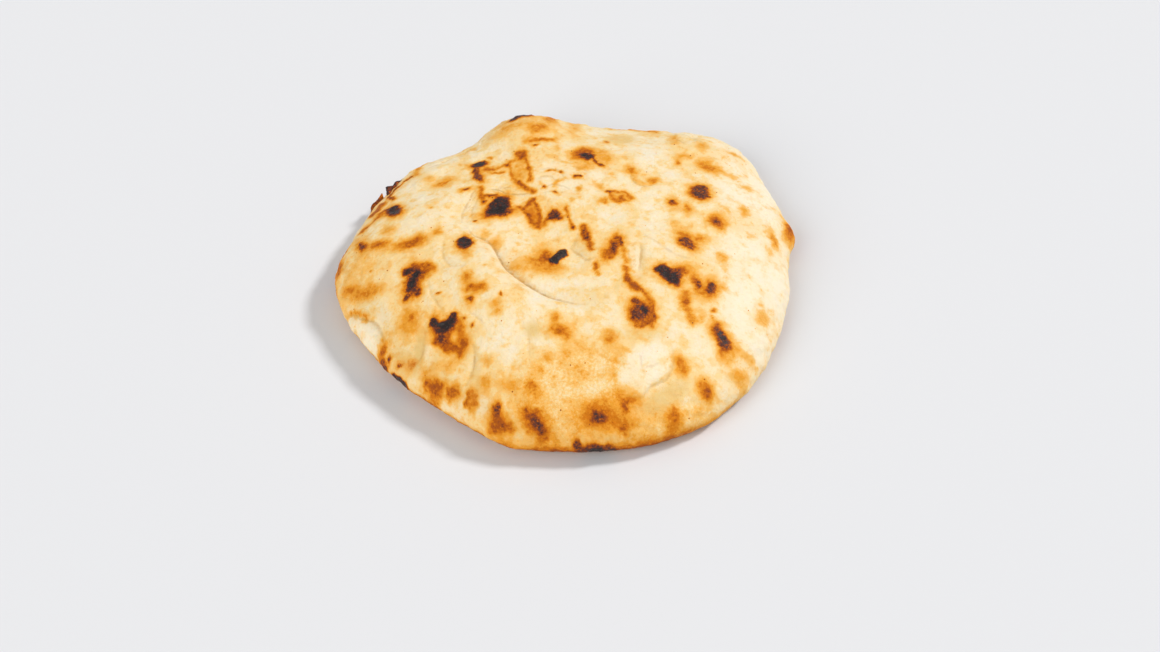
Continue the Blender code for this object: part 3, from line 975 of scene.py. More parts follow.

# Where the crust is palest. The strip on the ridge of the pleat is partly a painted highlight, and the
# two broad stretches on the right-hand side are partly painted light, where that side is lit most.
CREAM_AND_LIGHT: tuple[Area, ...] = (
    Area(36.4, -79, 26, 17, 52, soft=1.8, strength=0.5),
    Area(29.5, -90.6, 15, 11, -20, soft=1.8, strength=0.5),
    # Pale crust with a painted highlight on the lit ridge of the pleat.
    Area(32.3, -19, 22, 4, 92, soft=1.6, strength=0.8),
    Area(-64.8, -60, 12, 3.4, 88, soft=1.6, strength=0.7),
    Area(-41, -93, 22, 5, -32, soft=2.4, strength=0.7),
    Area(-56, -88, 14, 5, -36, soft=2.4, strength=0.7),
    # Paler crust with painted light over the right-hand side, which is lit most.
    Area(88, -25, 26, 90, -8, soft=18, strength=0.9),
    Area(92, 35, 22, 60, 12, soft=16, strength=0.9),
    Area(-30, -14, 10, 34, 35, soft=8, strength=0.7),
    Area(4, 42, 30, 24, soft=10, strength=0.6),
    Area(-98.4, -36.5, 7, 32, 35, soft=2, strength=0.9),
)

# The charred scraps at the left rim.
SCRAPS: tuple[Scrap, ...] = (
    # The leaf that hangs out of the left rim.
    Scrap(
        path=((-96, 52, 5), (-96.4, 55.5, 5.5), (-95.6, 59, 6.5), (-94.2, 62, 8), (-93.6, 65, 10)),
        breadths=(1.2, 6.2, 6.6, 3.4, 0.6),
        thickness=2.2,
        lean=75,
        tone=Tone.DARK,
        inner_tone=Tone.ORANGE,
    ),
    # The torn edge behind it.
    Scrap(
        path=(
            (-89.6, 55.0, 14.5),
            (-89.6, 58.6, 15.5),
            (-89.2, 61.2, 15.5),
            (-87.0, 63.0, 16),
            (-85.2, 65.4, 16),
            (-83.6, 67.2, 15.5),
            (-81.4, 69.0, 15),
            (-78.6, 70.8, 14),
        ),
        breadths=(0.6, 2.0, 4.0, 1.5, 3.0, 1.6, 2.4, 0.6),
        thickness=1.6,
        lean=60,
        tone=Tone.CHAR,
        inner_tone=Tone.BROWN,
    ),
    # The small flake farthest back.
    Scrap(
        path=((-77.5, 77, 8), (-76.6, 79.4, 9.4), (-75.2, 81.6, 10.2), (-73.4, 83.2, 10)),
        breadths=(0.8, 2.2, 2.4, 0.6),
        thickness=1.8,
        lean=50,
        tone=Tone.BROWN,
        inner_tone=Tone.TAN,
    ),
)


@dataclass(frozen=True)
class Form:
    """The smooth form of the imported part, for the fine crust to be laid on.

    Attributes:
        node: Name of the CAD node.
        levels: Subdivision levels that round its facets off.
        merge_distance: Vertices closer than this are one, in metres.
        flat_angle: Largest angle between two triangles that are joined into one cell, in degrees.
        skew_angle: Largest skew of such a cell, in degrees.
    """

    node: str = NODE
    levels: int = 1
    merge_distance: float = 1e-5
    flat_angle: float = 40.0
    skew_angle: float = 60.0

    def tree(self) -> BVHTree:
        """Builds a search tree over the smooth form.

        Returns:
            The tree, in metres, in the part's frame.
        """
        copy = bpy.data.objects.new("form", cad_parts[self.node].data.copy())
        bpy.context.scene.collection.objects.link(copy)
        cells = bmesh.new()
        cells.from_mesh(copy.data)
        bmesh.ops.remove_doubles(cells, verts=cells.verts, dist=self.merge_distance)
        bmesh.ops.join_triangles(
            cells,
            faces=cells.faces,
            angle_face_threshold=math.radians(self.flat_angle),
            angle_shape_threshold=math.radians(self.skew_angle),
        )
        cells.to_mesh(copy.data)
        cells.free()
        rounding = copy.modifiers.new("rounding", "SUBSURF")
        rounding.levels = self.levels
        rounding.render_levels = self.levels
        bpy.context.view_layer.update()
        graph = bpy.context.evaluated_depsgraph_get()
        tree = BVHTree.FromObject(copy, graph)
        mesh = copy.data
        bpy.data.objects.remove(copy)
        bpy.data.meshes.remove(mesh)
        return tree


@dataclass(frozen=True)
class Crust:
    """The bread's skin: a fine closed mesh on the part's form, with its creases and its baking.

    Attributes:
        top_cells: Cells across the top before the fine cut.
        side_rows: Rows down the side before the fine cut.
        fine_cuts: Cuts through each cell of the top and sides.
        box_edge: From here out a point of the layout box, which ends at 1, is on its side.
        rim_steps: Steps round the rim in which its distance is measured.
        inset: How far inside the rim the middle of its roundness lies, in millimetres.
        middle: Height of that place.
        smoothing: Rounds of smoothing after the crust is laid on the form.
        smoothing_share: How far each round moves a vertex towards its neighbours.
        top_turn: Upward parts of the normal between which the underside gives way to the top.
        side_turn: The same, but low enough to keep the whole side of the rim.
        baking: How the marks are baked in.
        ragged: How the edges of the marks wander.
        frayed: How they fray.
        wander: How the edges of hazy areas wander.
        swell: Soft swells of the whole crust.
        ripple: Finer ones.
        rim_swell: Swells that the rim has on top of that.
        rim_ripple: Finer ones on the rim.
        rim_blend: Distance over which the rim's swells set in, in millimetres.
        base_swell: Share of the swells that is left underneath.
        blister: Height of the blisters on browned crust.
        blister_tones: Tones between which blisters come up.
        bubbles: Unevenness of the blisters, as a share of their height.
        crater: How far charred crust has sunk back in.
        crater_tones: Tones between which craters come.
        pits: Unevenness of the craters, as a share of their depth.
    """

    top_cells: int = 76
    side_rows: int = 12
    fine_cuts: int = 2
    box_edge: float = 0.999
    rim_steps: int = 720
    inset: float = 12.0
    middle: float = 9.0
    smoothing: int = 5
    smoothing_share: float = 0.5
    top_turn: Range = (-0.75, -0.25)
    side_turn: Range = (-0.98, -0.8)
    baking: Baking = Baking()
    ragged: Unevenness = Unevenness(size=5, reach=1.3, shift=3.1)
    frayed: Unevenness = Unevenness(size=1.8, reach=0.6, shift=5.3, octaves=2)
    wander: Unevenness = Unevenness(size=12, reach=4, shift=1.2)
    swell: Unevenness = Unevenness(size=14, reach=0.5, shift=2.2)
    ripple: Unevenness = Unevenness(size=5, reach=0.3, shift=6.1)
    rim_swell: Unevenness = Unevenness(size=9, reach=0.7, shift=7.3)
    rim_ripple: Unevenness = Unevenness(size=3.5, reach=0.25, shift=3.9)
    rim_blend: float = 10.0
    base_swell: float = 0.3
    blister: float = 0.35
    blister_tones: Range = (Tone.ORANGE.value, Tone.DARK.value)
    bubbles: Unevenness = Unevenness(size=2.4, reach=0.7, shift=4.4, octaves=2)
    crater: float = 0.35
    crater_tones: Range = (0.75, 0.98)
    pits: Unevenness = Unevenness(size=1.8, reach=1.4, shift=9.2, octaves=2)

    def cells(self) -> bmesh.types.BMesh:
        """Builds the closed box that the crust is laid out on.

        Returns:
            A box from -1 to 1 each way, finely cut except underneath.
        """
        box = bmesh.new()
        bmesh.ops.create_cube(box, size=2)
        uprights = [e for e in box.edges if e.verts[0].co.z != e.verts[1].co.z]
        bmesh.ops.subdivide_edges(box, edges=uprights, cuts=self.side_rows - 1, use_grid_fill=True)
        row_height = 2 / self.side_rows
        level = [e for e in box.edges if abs(e.verts[0].co.z - e.verts[1].co.z) < row_height / 2]
        bmesh.ops.subdivide_edges(box, edges=level, cuts=self.top_cells - 1, use_grid_fill=True)
        shown = [face for face in box.faces if face.calc_center_median().z > -self.box_edge]
        edges = list({edge for face in shown for edge in face.edges})
        bmesh.ops.subdivide_edges(box, edges=edges, cuts=self.fine_cuts, use_grid_fill=True)
        return box

    def rim_distance(self, tree: BVHTree, angle: np.ndarray) -> np.ndarray:
        """Distance from the origin to the rim.

        Args:
            tree: The form.
            angle: Directions, in radians.

        Returns:
            Distances in metres, one for each direction.
        """
        turns = np.linspace(0, 2 * math.pi, self.rim_steps + 1)
        found = []
        for turn in turns.tolist():
            out = Vector((math.cos(turn), math.sin(turn), 0))
            start = out * FAR_OUT + UP * self.middle * MM
            hit = tree.ray_cast(start, -out)[0]
            found.append(math.hypot(hit.x, hit.y))
        return np.interp(np.mod(angle, 2 * math.pi), turns, found)

    def rays(self, flat: np.ndarray, tree: BVHTree) -> tuple[np.ndarray, np.ndarray]:
        """Turns places on the box into rays that meet the form, fanned out round the rim.

        Args:
            flat: Places on the box, one row each.
            tree: The form.

        Returns:
            Start in metres and direction of each ray, one row each.
        """
        u, v, level = flat.T
        wide = np.abs(u) >= np.abs(v)
        ring = np.where(wide, np.abs(u), np.abs(v))
        safe_u = np.where(u == 0, 1, u)
        safe_v = np.where(v == 0, 1, v)
        across = np.where(u >= 0, 0, math.pi) + math.pi / 4 * v / safe_u
        along = np.where(v > 0, math.pi / 2, 3 * math.pi / 2) - math.pi / 4 * u / safe_v
        angle = np.where(wide, across, along)
        reach = ring * (self.rim_distance(tree, angle) - self.inset * MM)
        tilt = np.where(ring > self.box_edge, level, np.sign(level)) * math.pi / 2
        out = np.column_stack((np.cos(angle), np.sin(angle)))
        starts = np.column_stack((reach[:, None] * out, np.full(len(u), self.middle * MM)))
        return starts, np.column_stack((np.cos(tilt)[:, None] * out, np.sin(tilt)))

    def lay(self, box: bmesh.types.BMesh, tree: BVHTree) -> None:
        """Moves every vertex of the box onto the form.

        Args:
            box: The box, whose vertices are moved.
            tree: The form.
        """
        starts, ways = self.rays(np.array([v.co for v in box.verts]), tree)
        for vertex, start, way in zip(box.verts, starts.tolist(), ways.tolist()):
            hit = tree.ray_cast(Vector(start), Vector(way))[0]
            vertex.co = hit if hit else Vector(start) + Vector(way) * self.inset * MM
        bmesh.ops.recalc_face_normals(box, faces=box.faces)
        for _ in range(self.smoothing):
            bmesh.ops.smooth_vert(
                box,
                verts=box.verts,
                factor=self.smoothing_share,
                use_axis_x=True,
                use_axis_y=True,
                use_axis_z=True,
            )
        box.normal_update()

    def toast(self, place: np.ndarray, top: np.ndarray, side: np.ndarray) -> np.ndarray:
        """How dark the crust is baked at each point.

        Args:
            place: Points in millimetres, one row of X, Y and Z each.
            top: Share of the upper side, 1 on top and 0 underneath.
            side: The same, but still 1 on the lower part of the rim.

        Returns:
            0 for raw dough to 1 for charcoal.
        """
        ragged = self.ragged.drift(place)
        plan = place[:, :2] + ragged + self.frayed.drift(place)
        shaken = np.column_stack((plan, place[:, 2] + ragged[:, 0]))
        joining = self.baking.joining
        total = np.zeros(len(place))
        for mark in (*BACK_LEFT, *BACK_RIGHT, *FRONT_RIGHT, *FRONT_LEFT):
            total += (self.baking.darkness(mark, mark.gap(plan)) * top) ** joining
        for mark in RIM:
            total += (self.baking.darkness(mark, mark.gap(shaken)) * side) ** joining
        return total ** (1 / joining)

    def relief(self, place: np.ndarray, toast: np.ndarray, top: np.ndarray) -> np.ndarray:
        """How far each point is pushed out along its normal.

        Args:
            place: Points in millimetres, one row of X, Y and Z each.
            toast: How dark the crust is baked there.
            top: Share of the upper side.

        Returns:
            Millimetres outward.
        """
        plan = place[:, :2]
        folds = sum(crease.height(plan) for crease in CREASES) * top
        radius = np.hypot(place[:, 0], place[:, 1])
        rim = smooth_step(RIM_ZONE, RIM_ZONE + self.rim_blend, radius)
        swells = self.swell.over(place) + self.ripple.over(place)
        swells += rim * (self.rim_swell.over(place) + self.rim_ripple.over(place))
        swells *= self.base_swell + (1 - self.base_swell) * top
        blisters = smooth_step(*self.blister_tones, toast) * (1 + self.bubbles.over(place))
        craters = smooth_step(*self.crater_tones, toast) * (1 + self.pits.over(place))
        return folds + swells + self.blister * blisters - self.crater * craters

    def build(self, tree: BVHTree, low: Vector, high: Vector) -> bpy.types.Object:
        """Builds the crust.

        Args:
            tree: The form.
            low: Lowest corner of the space that it may fill, in metres.
            high: Highest corner.

        Returns:
            The crust, with its baking in attributes.
        """
        box = self.cells()
        self.lay(box, tree)
        place = np.array([v.co for v in box.verts]) / MM
        normal = np.array([v.normal for v in box.verts])
        top = smooth_step(*self.top_turn, normal[:, 2])
        side = smooth_step(*self.side_turn, normal[:, 2])
        toast = self.toast(place, top, side)
        moved = place + normal * self.relief(place, toast, top)[:, None]
        moved = np.clip(moved * MM, np.array(low), np.array(high))
        for vertex, point in zip(box.verts, moved.tolist()):
            vertex.co = point
        scrap_toast = self.add_scraps(box)
        mesh = bpy.data.meshes.new("crust")
        box.to_mesh(mesh)
        box.free()
        mesh.shade_smooth()
        self.paint(mesh, "toast", np.append(toast, scrap_toast))
        self.paint(mesh, "under", 1 - top)
        self.paint_looks(mesh, place, top)
        piece = bpy.data.objects.new("crust", mesh)
        bpy.context.scene.collection.objects.link(piece)
        return piece

    @staticmethod
    def add_scraps(box: bmesh.types.BMesh) -> list[float]:
        """Adds the charred scraps to the crust.

        Args:
            box: The crust, which gets their vertices after its own.

        Returns:
            How dark each new vertex is baked.
        """
        toast = []
        for scrap in SCRAPS:
            mesh, baked = scrap.build()
            box.from_mesh(mesh)
            toast.extend(baked)
            bpy.data.meshes.remove(mesh)
        return toast

    def paint_looks(self, mesh: bpy.types.Mesh, place: np.ndarray, top: np.ndarray) -> None:
        """Stores where the crust has a look of its own, painted shade and light among them, and where its
        seams run.

        Args:
            mesh: The crust's mesh.
            place: Its points before the relief, in millimetres, one row each.
            top: Share of the upper side.
        """
        plan = place[:, :2]
        cream = self.share_of(CREAM_AND_LIGHT, plan)
        haze = self.share_of(HAZE, plan + self.wander.drift(place))
        # Haze gives way to pale crust twice as fast as that comes in.
        self.paint(mesh, "haze", haze * np.maximum(1 - 2 * cream, 0))
        self.paint(mesh, "olive", self.share_of(OLIVE_AND_SHADE, plan))
        self.paint(mesh, "cream", cream)
        distances, strengths = np.array([crease.seam(plan) for crease in CREASES]).swapaxes(0, 1)
        strongest = np.argmax(strengths, axis=0)[None]
        self.paint(mesh, "seam", np.take_along_axis(distances, strongest, 0)[0])
        self.paint(mesh, "seam_strength", strengths.max(axis=0) * top)

    @staticmethod
    def share_of(areas: tuple[Area, ...], plan: np.ndarray) -> np.ndarray:
        """The largest share of a look that any of its areas gives each point of the plan."""
        return np.max([area.share(plan) for area in areas], axis=0)

    @staticmethod
    def paint(mesh: bpy.types.Mesh, name: str, values: np.ndarray) -> None:
        """Stores one number for each vertex.

        Args:
            mesh: The mesh.
            name: Name of the attribute.
            values: One number for each of the first vertices. The others get 0.
        """
        full = np.zeros(len(mesh.vertices), dtype=np.float32)
        full[: len(values)] = values
        mesh.attributes.new(name, "FLOAT", "POINT").data.foreach_set("value", full)


@dataclass(frozen=True)
class Grain:
    """Cloudy noise, from about 0.25 to 0.75.

    Attributes:
        size: Size of one swell, in millimetres.
        detail: Number of finer layers.
        roughness: Strength of each finer layer, as a share of the one before.
    """

    size: float
    detail: float
    roughness: float = 0.5


@dataclass(frozen=True)
class Ease:
    """A smooth change from one value to another.

    Attributes:
        low: Reading where the result leaves its first value.
        high: Reading where it reaches its second.
        first: The first value.
        second: The second value.
    """

    low: float
    high: float
    first: float = 0.0
    second: float = 1.0


@dataclass(frozen=True)
class Patches:
    """Cloudy patches: a grain, and what its readings are eased to."""

    grain: Grain
    ease: Ease


class Graph:
    """The nodes of one material, with short ways to add and join them."""

    def __init__(self, material: bpy.types.Material) -> None:
        """Takes over the nodes of a material.

        Args:
            material: The material. It gets a plain shader.
        """
        material.use_nodes = True
        self.nodes = material.node_tree.nodes
        self.links = material.node_tree.links
        self.shader = self.nodes["Principled BSDF"]
        self.place = self.nodes.new("ShaderNodeTexCoord").outputs["Object"]

    def attribute(self, name: str) -> Socket:
        """Reads the number that the mesh holds under a name."""
        node = self.nodes.new("ShaderNodeAttribute")
        node.attribute_name = name
        return node.outputs["Fac"]

    def grain(self, grain: Grain) -> Socket:
        """Adds cloudy noise.

        Args:
            grain: The noise.

        Returns:
            Its values.
        """
        node = self.nodes.new("ShaderNodeTexNoise")
        node.inputs["Scale"].default_value = 1 / (grain.size * MM)
        node.inputs["Detail"].default_value = grain.detail
        node.inputs["Roughness"].default_value = grain.roughness
        self.links.new(self.place, node.inputs["Vector"])
        return node.outputs["Fac"]

    def waver(self, grain: Grain, strength: float) -> Socket:
        """Adds cloudy noise that wavers about 0, times a strength."""
        return self.times(self.less(self.grain(grain), NOISE_MIDDLE), strength)

    def patches(self, patches: Patches) -> Socket:
        """Adds cloudy patches."""
        return self.ease(self.grain(patches.grain), patches.ease)

    def dots(self, spacing: float) -> Socket:
        """Adds scattered points.

        Args:
            spacing: Distance between two points, in millimetres.

        Returns:
            Distance to the nearest point, as a share of the spacing.
        """
        node = self.nodes.new("ShaderNodeTexVoronoi")
        node.inputs["Scale"].default_value = 1 / (spacing * MM)
        self.links.new(self.place, node.inputs["Vector"])
        return node.outputs["Distance"]

    def maths(self, kind: str, *values: Socket | float) -> Socket:
        """Adds one step of arithmetic.

        Args:
            kind: The step, such as ADD.
            values: What it works on, in order.

        Returns:
            The outcome.
        """
        node = self.nodes.new("ShaderNodeMath")
        node.operation = kind
        for socket, value in zip(node.inputs, values):
            self.feed(socket, value)
        return node.outputs["Value"]

    def add(self, first: Socket | float, *others: Socket | float) -> Socket:
        """Adds values up."""
        for other in others:
            first = self.maths("ADD", first, other)
        return first

    def times(self, first: Socket | float, *others: Socket | float) -> Socket:
        """Multiplies values."""
        for other in others:
            first = self.maths("MULTIPLY", first, other)
        return first

    def less(self, first: Socket | float, second: Socket | float) -> Socket:
        """Takes the second value from the first."""
        return self.maths("SUBTRACT", first, second)

    def ease(self, value: Socket, ease: Ease) -> Socket:
        """Eases from one value to another.

        Args:
            value: What is read.
            ease: The change.

        Returns:
            The eased value.
        """
        node = self.nodes.new("ShaderNodeMapRange")
        node.interpolation_type = "SMOOTHSTEP"
        self.links.new(value, node.inputs["Value"])
        node.inputs["From Min"].default_value = ease.low
        node.inputs["From Max"].default_value = ease.high
        node.inputs["To Min"].default_value = ease.first
        node.inputs["To Max"].default_value = ease.second
        return node.outputs["Result"]

    def mix(self, share: Socket, first: Socket | Color, second: Socket | Color) -> Socket:
        """Mixes two colours.

        Args:
            share: Share of the second.
            first: One colour.
            second: The other.

        Returns:
            The mixed colour.
        """
        node = self.nodes.new("ShaderNodeMix")
        node.data_type = "RGBA"
        self.links.new(share, node.inputs["Factor"])
        for name, color in (("A", first), ("B", second)):
            socket = next(s for s in node.inputs if s.name == name and s.type == "RGBA")
            self.feed(socket, (*color, 1) if isinstance(color, tuple) else color)
        return next(s for s in node.outputs if s.type == "RGBA")

    def ramp(self, share: Socket, stops: tuple[tuple[float, Color], ...]) -> Socket:
        """Reads a colour off a scale.

        Args:
            share: Place on the scale, from 0 to 1.
            stops: Place and colour of each stop, in order.

        Returns:
            The colour there.
        """
        node = self.nodes.new("ShaderNodeValToRGB")
        node.color_ramp.interpolation = "EASE"
        elements = node.color_ramp.elements
        for element, (position, color) in zip(elements, (stops[0], stops[-1])):
            element.position = position
            element.color = (*color, 1)
        for position, color in stops[1:-1]:
            elements.new(position).color = (*color, 1)
        self.links.new(share, node.inputs["Fac"])
        return node.outputs["Color"]

    def feed(self, socket: Socket, value: Socket | float | tuple[float, ...]) -> None:
        """Joins a value to a socket, or sets the socket to a plain number or colour.

        Args:
            socket: The socket.
            value: What it gets.
        """
        if isinstance(value, bpy.types.NodeSocket):
            self.links.new(value, socket)
        else:
            socket.default_value = value


@dataclass(frozen=True)
class Speckling:
    """The fine pattern that breaks up the baking, as shares of toast.

    Attributes:
        clouds: Broad warm patches of unmarked crust.
        patches: Smaller ones.
        crumb: The finest ones.
        freckles: Fine speckles of hazy crust.
        wash: Soft browning under the freckles.
        pinhole_spacing: Distance between the fine dark pinholes, in millimetres.
        pinhole: How dark a pinhole is, by distance as a share of the spacing.
        pinhole_patches: Where pinholes come.
        ragged: Grain that frays the marks.
        ragged_strength: Its strength.
        ragged_tones: Share of it, by the mark's own tone.
        burnt: Grain of charred crust.
        burnt_strength: Its strength.
        burnt_tones: Share of it, by the mark's own tone.
    """

    clouds: Patches = Patches(Grain(18, 3), Ease(0.42, 0.72, 0.0, 0.09))
    patches: Patches = Patches(Grain(6, 4), Ease(0.46, 0.72, 0.0, 0.09))
    crumb: Patches = Patches(Grain(2.2, 4, 0.65), Ease(0.48, 0.72, 0.0, 0.06))
    freckles: Patches = Patches(Grain(1.2, 3, 0.7), Ease(0.35, 0.68, -0.05, 0.10))
    wash: Patches = Patches(Grain(9, 4), Ease(0.3, 0.7, 0.06, 0.18))
    pinhole_spacing: float = 5.0
    pinhole: Ease = Ease(0.04, 0.09, 0.45, 0.0)
    pinhole_patches: Patches = Patches(Grain(7, 1), Ease(0.50, 0.60))
    ragged: Grain = Grain(1.8, 4, 0.6)
    ragged_strength: float = 0.38
    ragged_tones: Ease = Ease(0.04, 0.45, 0.15, 1.0)
    burnt: Grain = Grain(1.1, 3, 0.6)
    burnt_strength: float = 1.0
    burnt_tones: Ease = Ease(0.40, 0.65)

    def add(self, graph: Graph) -> Socket:
        """Adds the pattern to the baking that the mesh holds.

        Args:
            graph: The material's nodes.

        Returns:
            0 for raw dough to 1 for charcoal.
        """
        marks = graph.attribute("toast")
        haze = graph.attribute("haze")
        fresh = graph.add(
            graph.patches(self.clouds), graph.patches(self.patches), graph.patches(self.crumb)
        )
        hazy = graph.add(graph.patches(self.freckles), graph.patches(self.wash))
        fresh = graph.times(graph.add(fresh, graph.times(hazy, haze)), graph.less(1.0, marks))
        pinholes = graph.ease(graph.dots(self.pinhole_spacing), self.pinhole)
        pinholes = graph.times(pinholes, graph.patches(self.pinhole_patches))
        ragged = graph.waver(self.ragged, self.ragged_strength)
        ragged = graph.times(ragged, graph.ease(marks, self.ragged_tones))
        burnt = graph.waver(self.burnt, self.burnt_strength)
        burnt = graph.times(burnt, graph.ease(marks, self.burnt_tones))
        return graph.add(marks, fresh, ragged, pinholes, burnt)


@dataclass(frozen=True)
class CreaseShadeLine:
    """The thin, slightly wandering line of painted shade along the bottom of each crease.

    Attributes:
        wander: Grain by which it wanders.
        wander_reach: Full width that it may wander over, in millimetres.
        edge: Its strength, by distance in millimetres.
        breaks: Where it is weaker.
    """

    wander: Grain = Grain(2.5, 3, 0.6)
    wander_reach: float = 1.6
    edge: Ease = Ease(0.1, 1.0, 1.0, 0.0)
    breaks: Patches = Patches(Grain(5, 2), Ease(0.3, 0.6, 0.35, 1.0))

    def add(self, graph: Graph) -> Socket:
        """Adds the line.

        Args:
            graph: The material's nodes.

        Returns:
            Strength of the line, from 0 to 1.
        """
        place = graph.add(graph.attribute("seam"), graph.waver(self.wander, self.wander_reach))
        line = graph.ease(graph.maths("ABSOLUTE", place), self.edge)
        return graph.times(line, graph.attribute("seam_strength"), graph.patches(self.breaks))


@dataclass(frozen=True)
class Underside:
    """The look of the underside, browned in soft patches.

    Attributes:
        color: Its colour.
        toasted: Colour of its darker mottling.
        mottling: The mottling.
        fine_mottling: Finer mottling in it.
        fine_share: Share of the finer mottling.
        ease: Share of the darker colour, by the mottling.
    """

    color: Color = (0.810, 0.500, 0.200)
    toasted: Color = (0.560, 0.240, 0.060)
    mottling: Grain = Grain(13, 4, 0.6)
    fine_mottling: Grain = Grain(1.8, 3, 0.6)
    fine_share: float = 0.35
    ease: Ease = Ease(0.40, 0.62)

    def add(self, graph: Graph) -> Socket:
        """Adds the underside's colour.

        Args:
            graph: The material's nodes.

        Returns:
            The colour.
        """
        mottling = graph.add(
            graph.times(graph.grain(self.mottling), 1 - self.fine_share),
            graph.times(graph.grain(self.fine_mottling), self.fine_share),
        )
        return graph.mix(graph.ease(mottling, self.ease), self.color, self.toasted)


@dataclass(frozen=True)
class Texture:
    """The fine grain of the crust, which catches the light.

    Attributes:
        bumps: The larger bumps.
        fine_bumps: The finer ones.
        fine_share: Height of the finer ones, as a share of the larger.
        line_depth: How deep the line along a crease lies, in the same measure.
        strength: Strength of the bumps.
        height: Their full height, in metres.
    """

    bumps: Grain = Grain(2.6, 3, 0.55)
    fine_bumps: Grain = Grain(0.7, 3, 0.6)
    fine_share: float = 0.45
    line_depth: float = 0.22
    strength: float = 0.8
    height: float = 0.0009

    def add(self, graph: Graph, line: Socket) -> Socket:
        """Adds the grain.

        Args:
            graph: The material's nodes.
            line: Strength of the line of painted shade along a crease.

        Returns:
            The bumpy normal.
        """
        fine = graph.times(graph.grain(self.fine_bumps), self.fine_share)
        height = graph.add(fine, graph.grain(self.bumps))
        bump = graph.nodes.new("ShaderNodeBump")
        bump.inputs["Strength"].default_value = self.strength
        bump.inputs["Distance"].default_value = self.height
        graph.feed(bump.inputs["Height"], graph.less(height, graph.times(line, self.line_depth)))
        return bump.outputs["Normal"]


@dataclass(frozen=True)
class BakedDough:
    """The finish of the crust, from raw cream to charcoal.

    Colours are in linear light. Each fade gives the strength of a look by how dark the crust is.

    Attributes:
        stops: Place along the toast scale, and colour there.
        cream: The palest crust, partly painted light on the pleat's ridge and on the right-hand side.
        cream_fade: Where it shows.
        cream_patches: Patches in it.
        olive: Thin, damp crust, and painted shade in creases and beside raised flaps.
        olive_fade: Where it shows.
        groove: Painted shade along the bottom of a crease.
        groove_fade: Where it shows.
        ash_and_sheen: Grey patches on charcoal, partly cinders and partly painted sheen.
        ash_and_sheen_fade: Where they show.
        ash_and_sheen_patches: The patches.
        under_fade: Where the underside's own look shows.
        roughness: Roughness, by how dark the crust is. Charred crust shines a little.
        shine: Strength of the shine, likewise.
        glow: Share of the light that goes under the surface.
        glow_spread: How far its red, green and blue go, as shares of the depth.
        glow_depth: How deep it goes, in metres.
        speckling: The fine pattern of the baking.
        line: The line of painted shade along a crease.
        underside: The underside.
        texture: The fine grain.
    """

    stops: tuple[tuple[float, Color], ...] = (
        (0.00, (0.910, 0.800, 0.610)),
        (0.05, (0.915, 0.745, 0.470)),
        (0.11, (0.910, 0.645, 0.290)),
        (0.20, (0.890, 0.495, 0.125)),
        (0.30, (0.820, 0.345, 0.030)),
        (0.41, (0.650, 0.195, 0.003)),
        (0.52, (0.410, 0.092, 0.003)),
        (0.64, (0.205, 0.047, 0.012)),
        (0.77, (0.092, 0.027, 0.018)),
        (0.91, (0.025, 0.017, 0.017)),
    )
    # Pale crust, partly painted light on the pleat's ridge and on the right-hand side.
    cream: Color = (0.950, 0.850, 0.660)
    cream_fade: Ease = Ease(0.02, 0.22, 1.0, 0.0)
    cream_patches: Patches = Patches(Grain(9, 2), Ease(0.3, 0.7, 0.6, 1.0))
    # Olive crust, and painted shade in creases and beside raised flaps.
    olive: Color = (0.780, 0.540, 0.210)
    olive_fade: Ease = Ease(0.1, 0.5, 1.0, 0.0)
    # Painted shade along the bottom of a crease.
    groove: Color = (0.560, 0.310, 0.085)
    groove_fade: Ease = Ease(0.2, 0.5, 0.75, 0.0)
    # Grey patches on charcoal: partly cinders, partly painted sheen.
    ash_and_sheen: Color = (0.080, 0.070, 0.068)
    ash_and_sheen_fade: Ease = Ease(0.80, 0.95)
    ash_and_sheen_patches: Patches = Patches(Grain(1.1, 2), Ease(0.5, 0.7, 0.0, 0.45))
    under_fade: Ease = Ease(0.25, 0.5, 1.0, 0.0)
    roughness: Ease = Ease(0.5, 0.85, 0.62, 0.34)
    shine: Ease = Ease(0.5, 0.85, 0.14, 0.18)
    glow: float = 0.12
    glow_spread: Color = (1.0, 0.5, 0.25)
    glow_depth: float = 0.003
    speckling: Speckling = Speckling()
    line: CreaseShadeLine = CreaseShadeLine()
    underside: Underside = Underside()
    texture: Texture = Texture()

    def make(self) -> bpy.types.Material:
        """Builds the material.

        Returns:
            The material.
        """
        material = bpy.data.materials.new("baked_dough")
        graph = Graph(material)
        toast = self.speckling.add(graph)
        line = self.line.add(graph)
        inputs = graph.shader.inputs
        inputs["Subsurface Weight"].default_value = self.glow
        inputs["Subsurface Radius"].default_value = self.glow_spread
        inputs["Subsurface Scale"].default_value = self.glow_depth
        graph.feed(inputs["Base Color"], self.color(graph, toast, line))
        graph.feed(inputs["Roughness"], graph.ease(toast, self.roughness))
        graph.feed(inputs["Specular IOR Level"], graph.ease(toast, self.shine))
        graph.feed(inputs["Normal"], self.texture.add(graph, line))
        return material

    def color(self, graph: Graph, toast: Socket, line: Socket) -> Socket:
        """The colour of the crust.

        Args:
            graph: The material's nodes.
            toast: How dark the crust is baked.
            line: Strength of the line of painted shade along a crease.

        Returns:
            The colour.
        """
        color = graph.ramp(toast, self.stops)
        # Pale crust, partly painted light on the pleat's ridge and on the right-hand side.
        pale = graph.times(graph.attribute("cream"), graph.ease(toast, self.cream_fade))
        color = graph.mix(graph.times(pale, graph.patches(self.cream_patches)), color, self.cream)
        # Olive crust, partly painted shade in creases and beside raised flaps.
        moist_and_shaded = graph.times(graph.attribute("olive"), graph.ease(toast, self.olive_fade))
        color = graph.mix(moist_and_shaded, color, self.olive)
        # Painted shade along the bottom of each crease.
        shade = graph.times(line, graph.ease(toast, self.groove_fade))
        color = graph.mix(shade, color, self.groove)
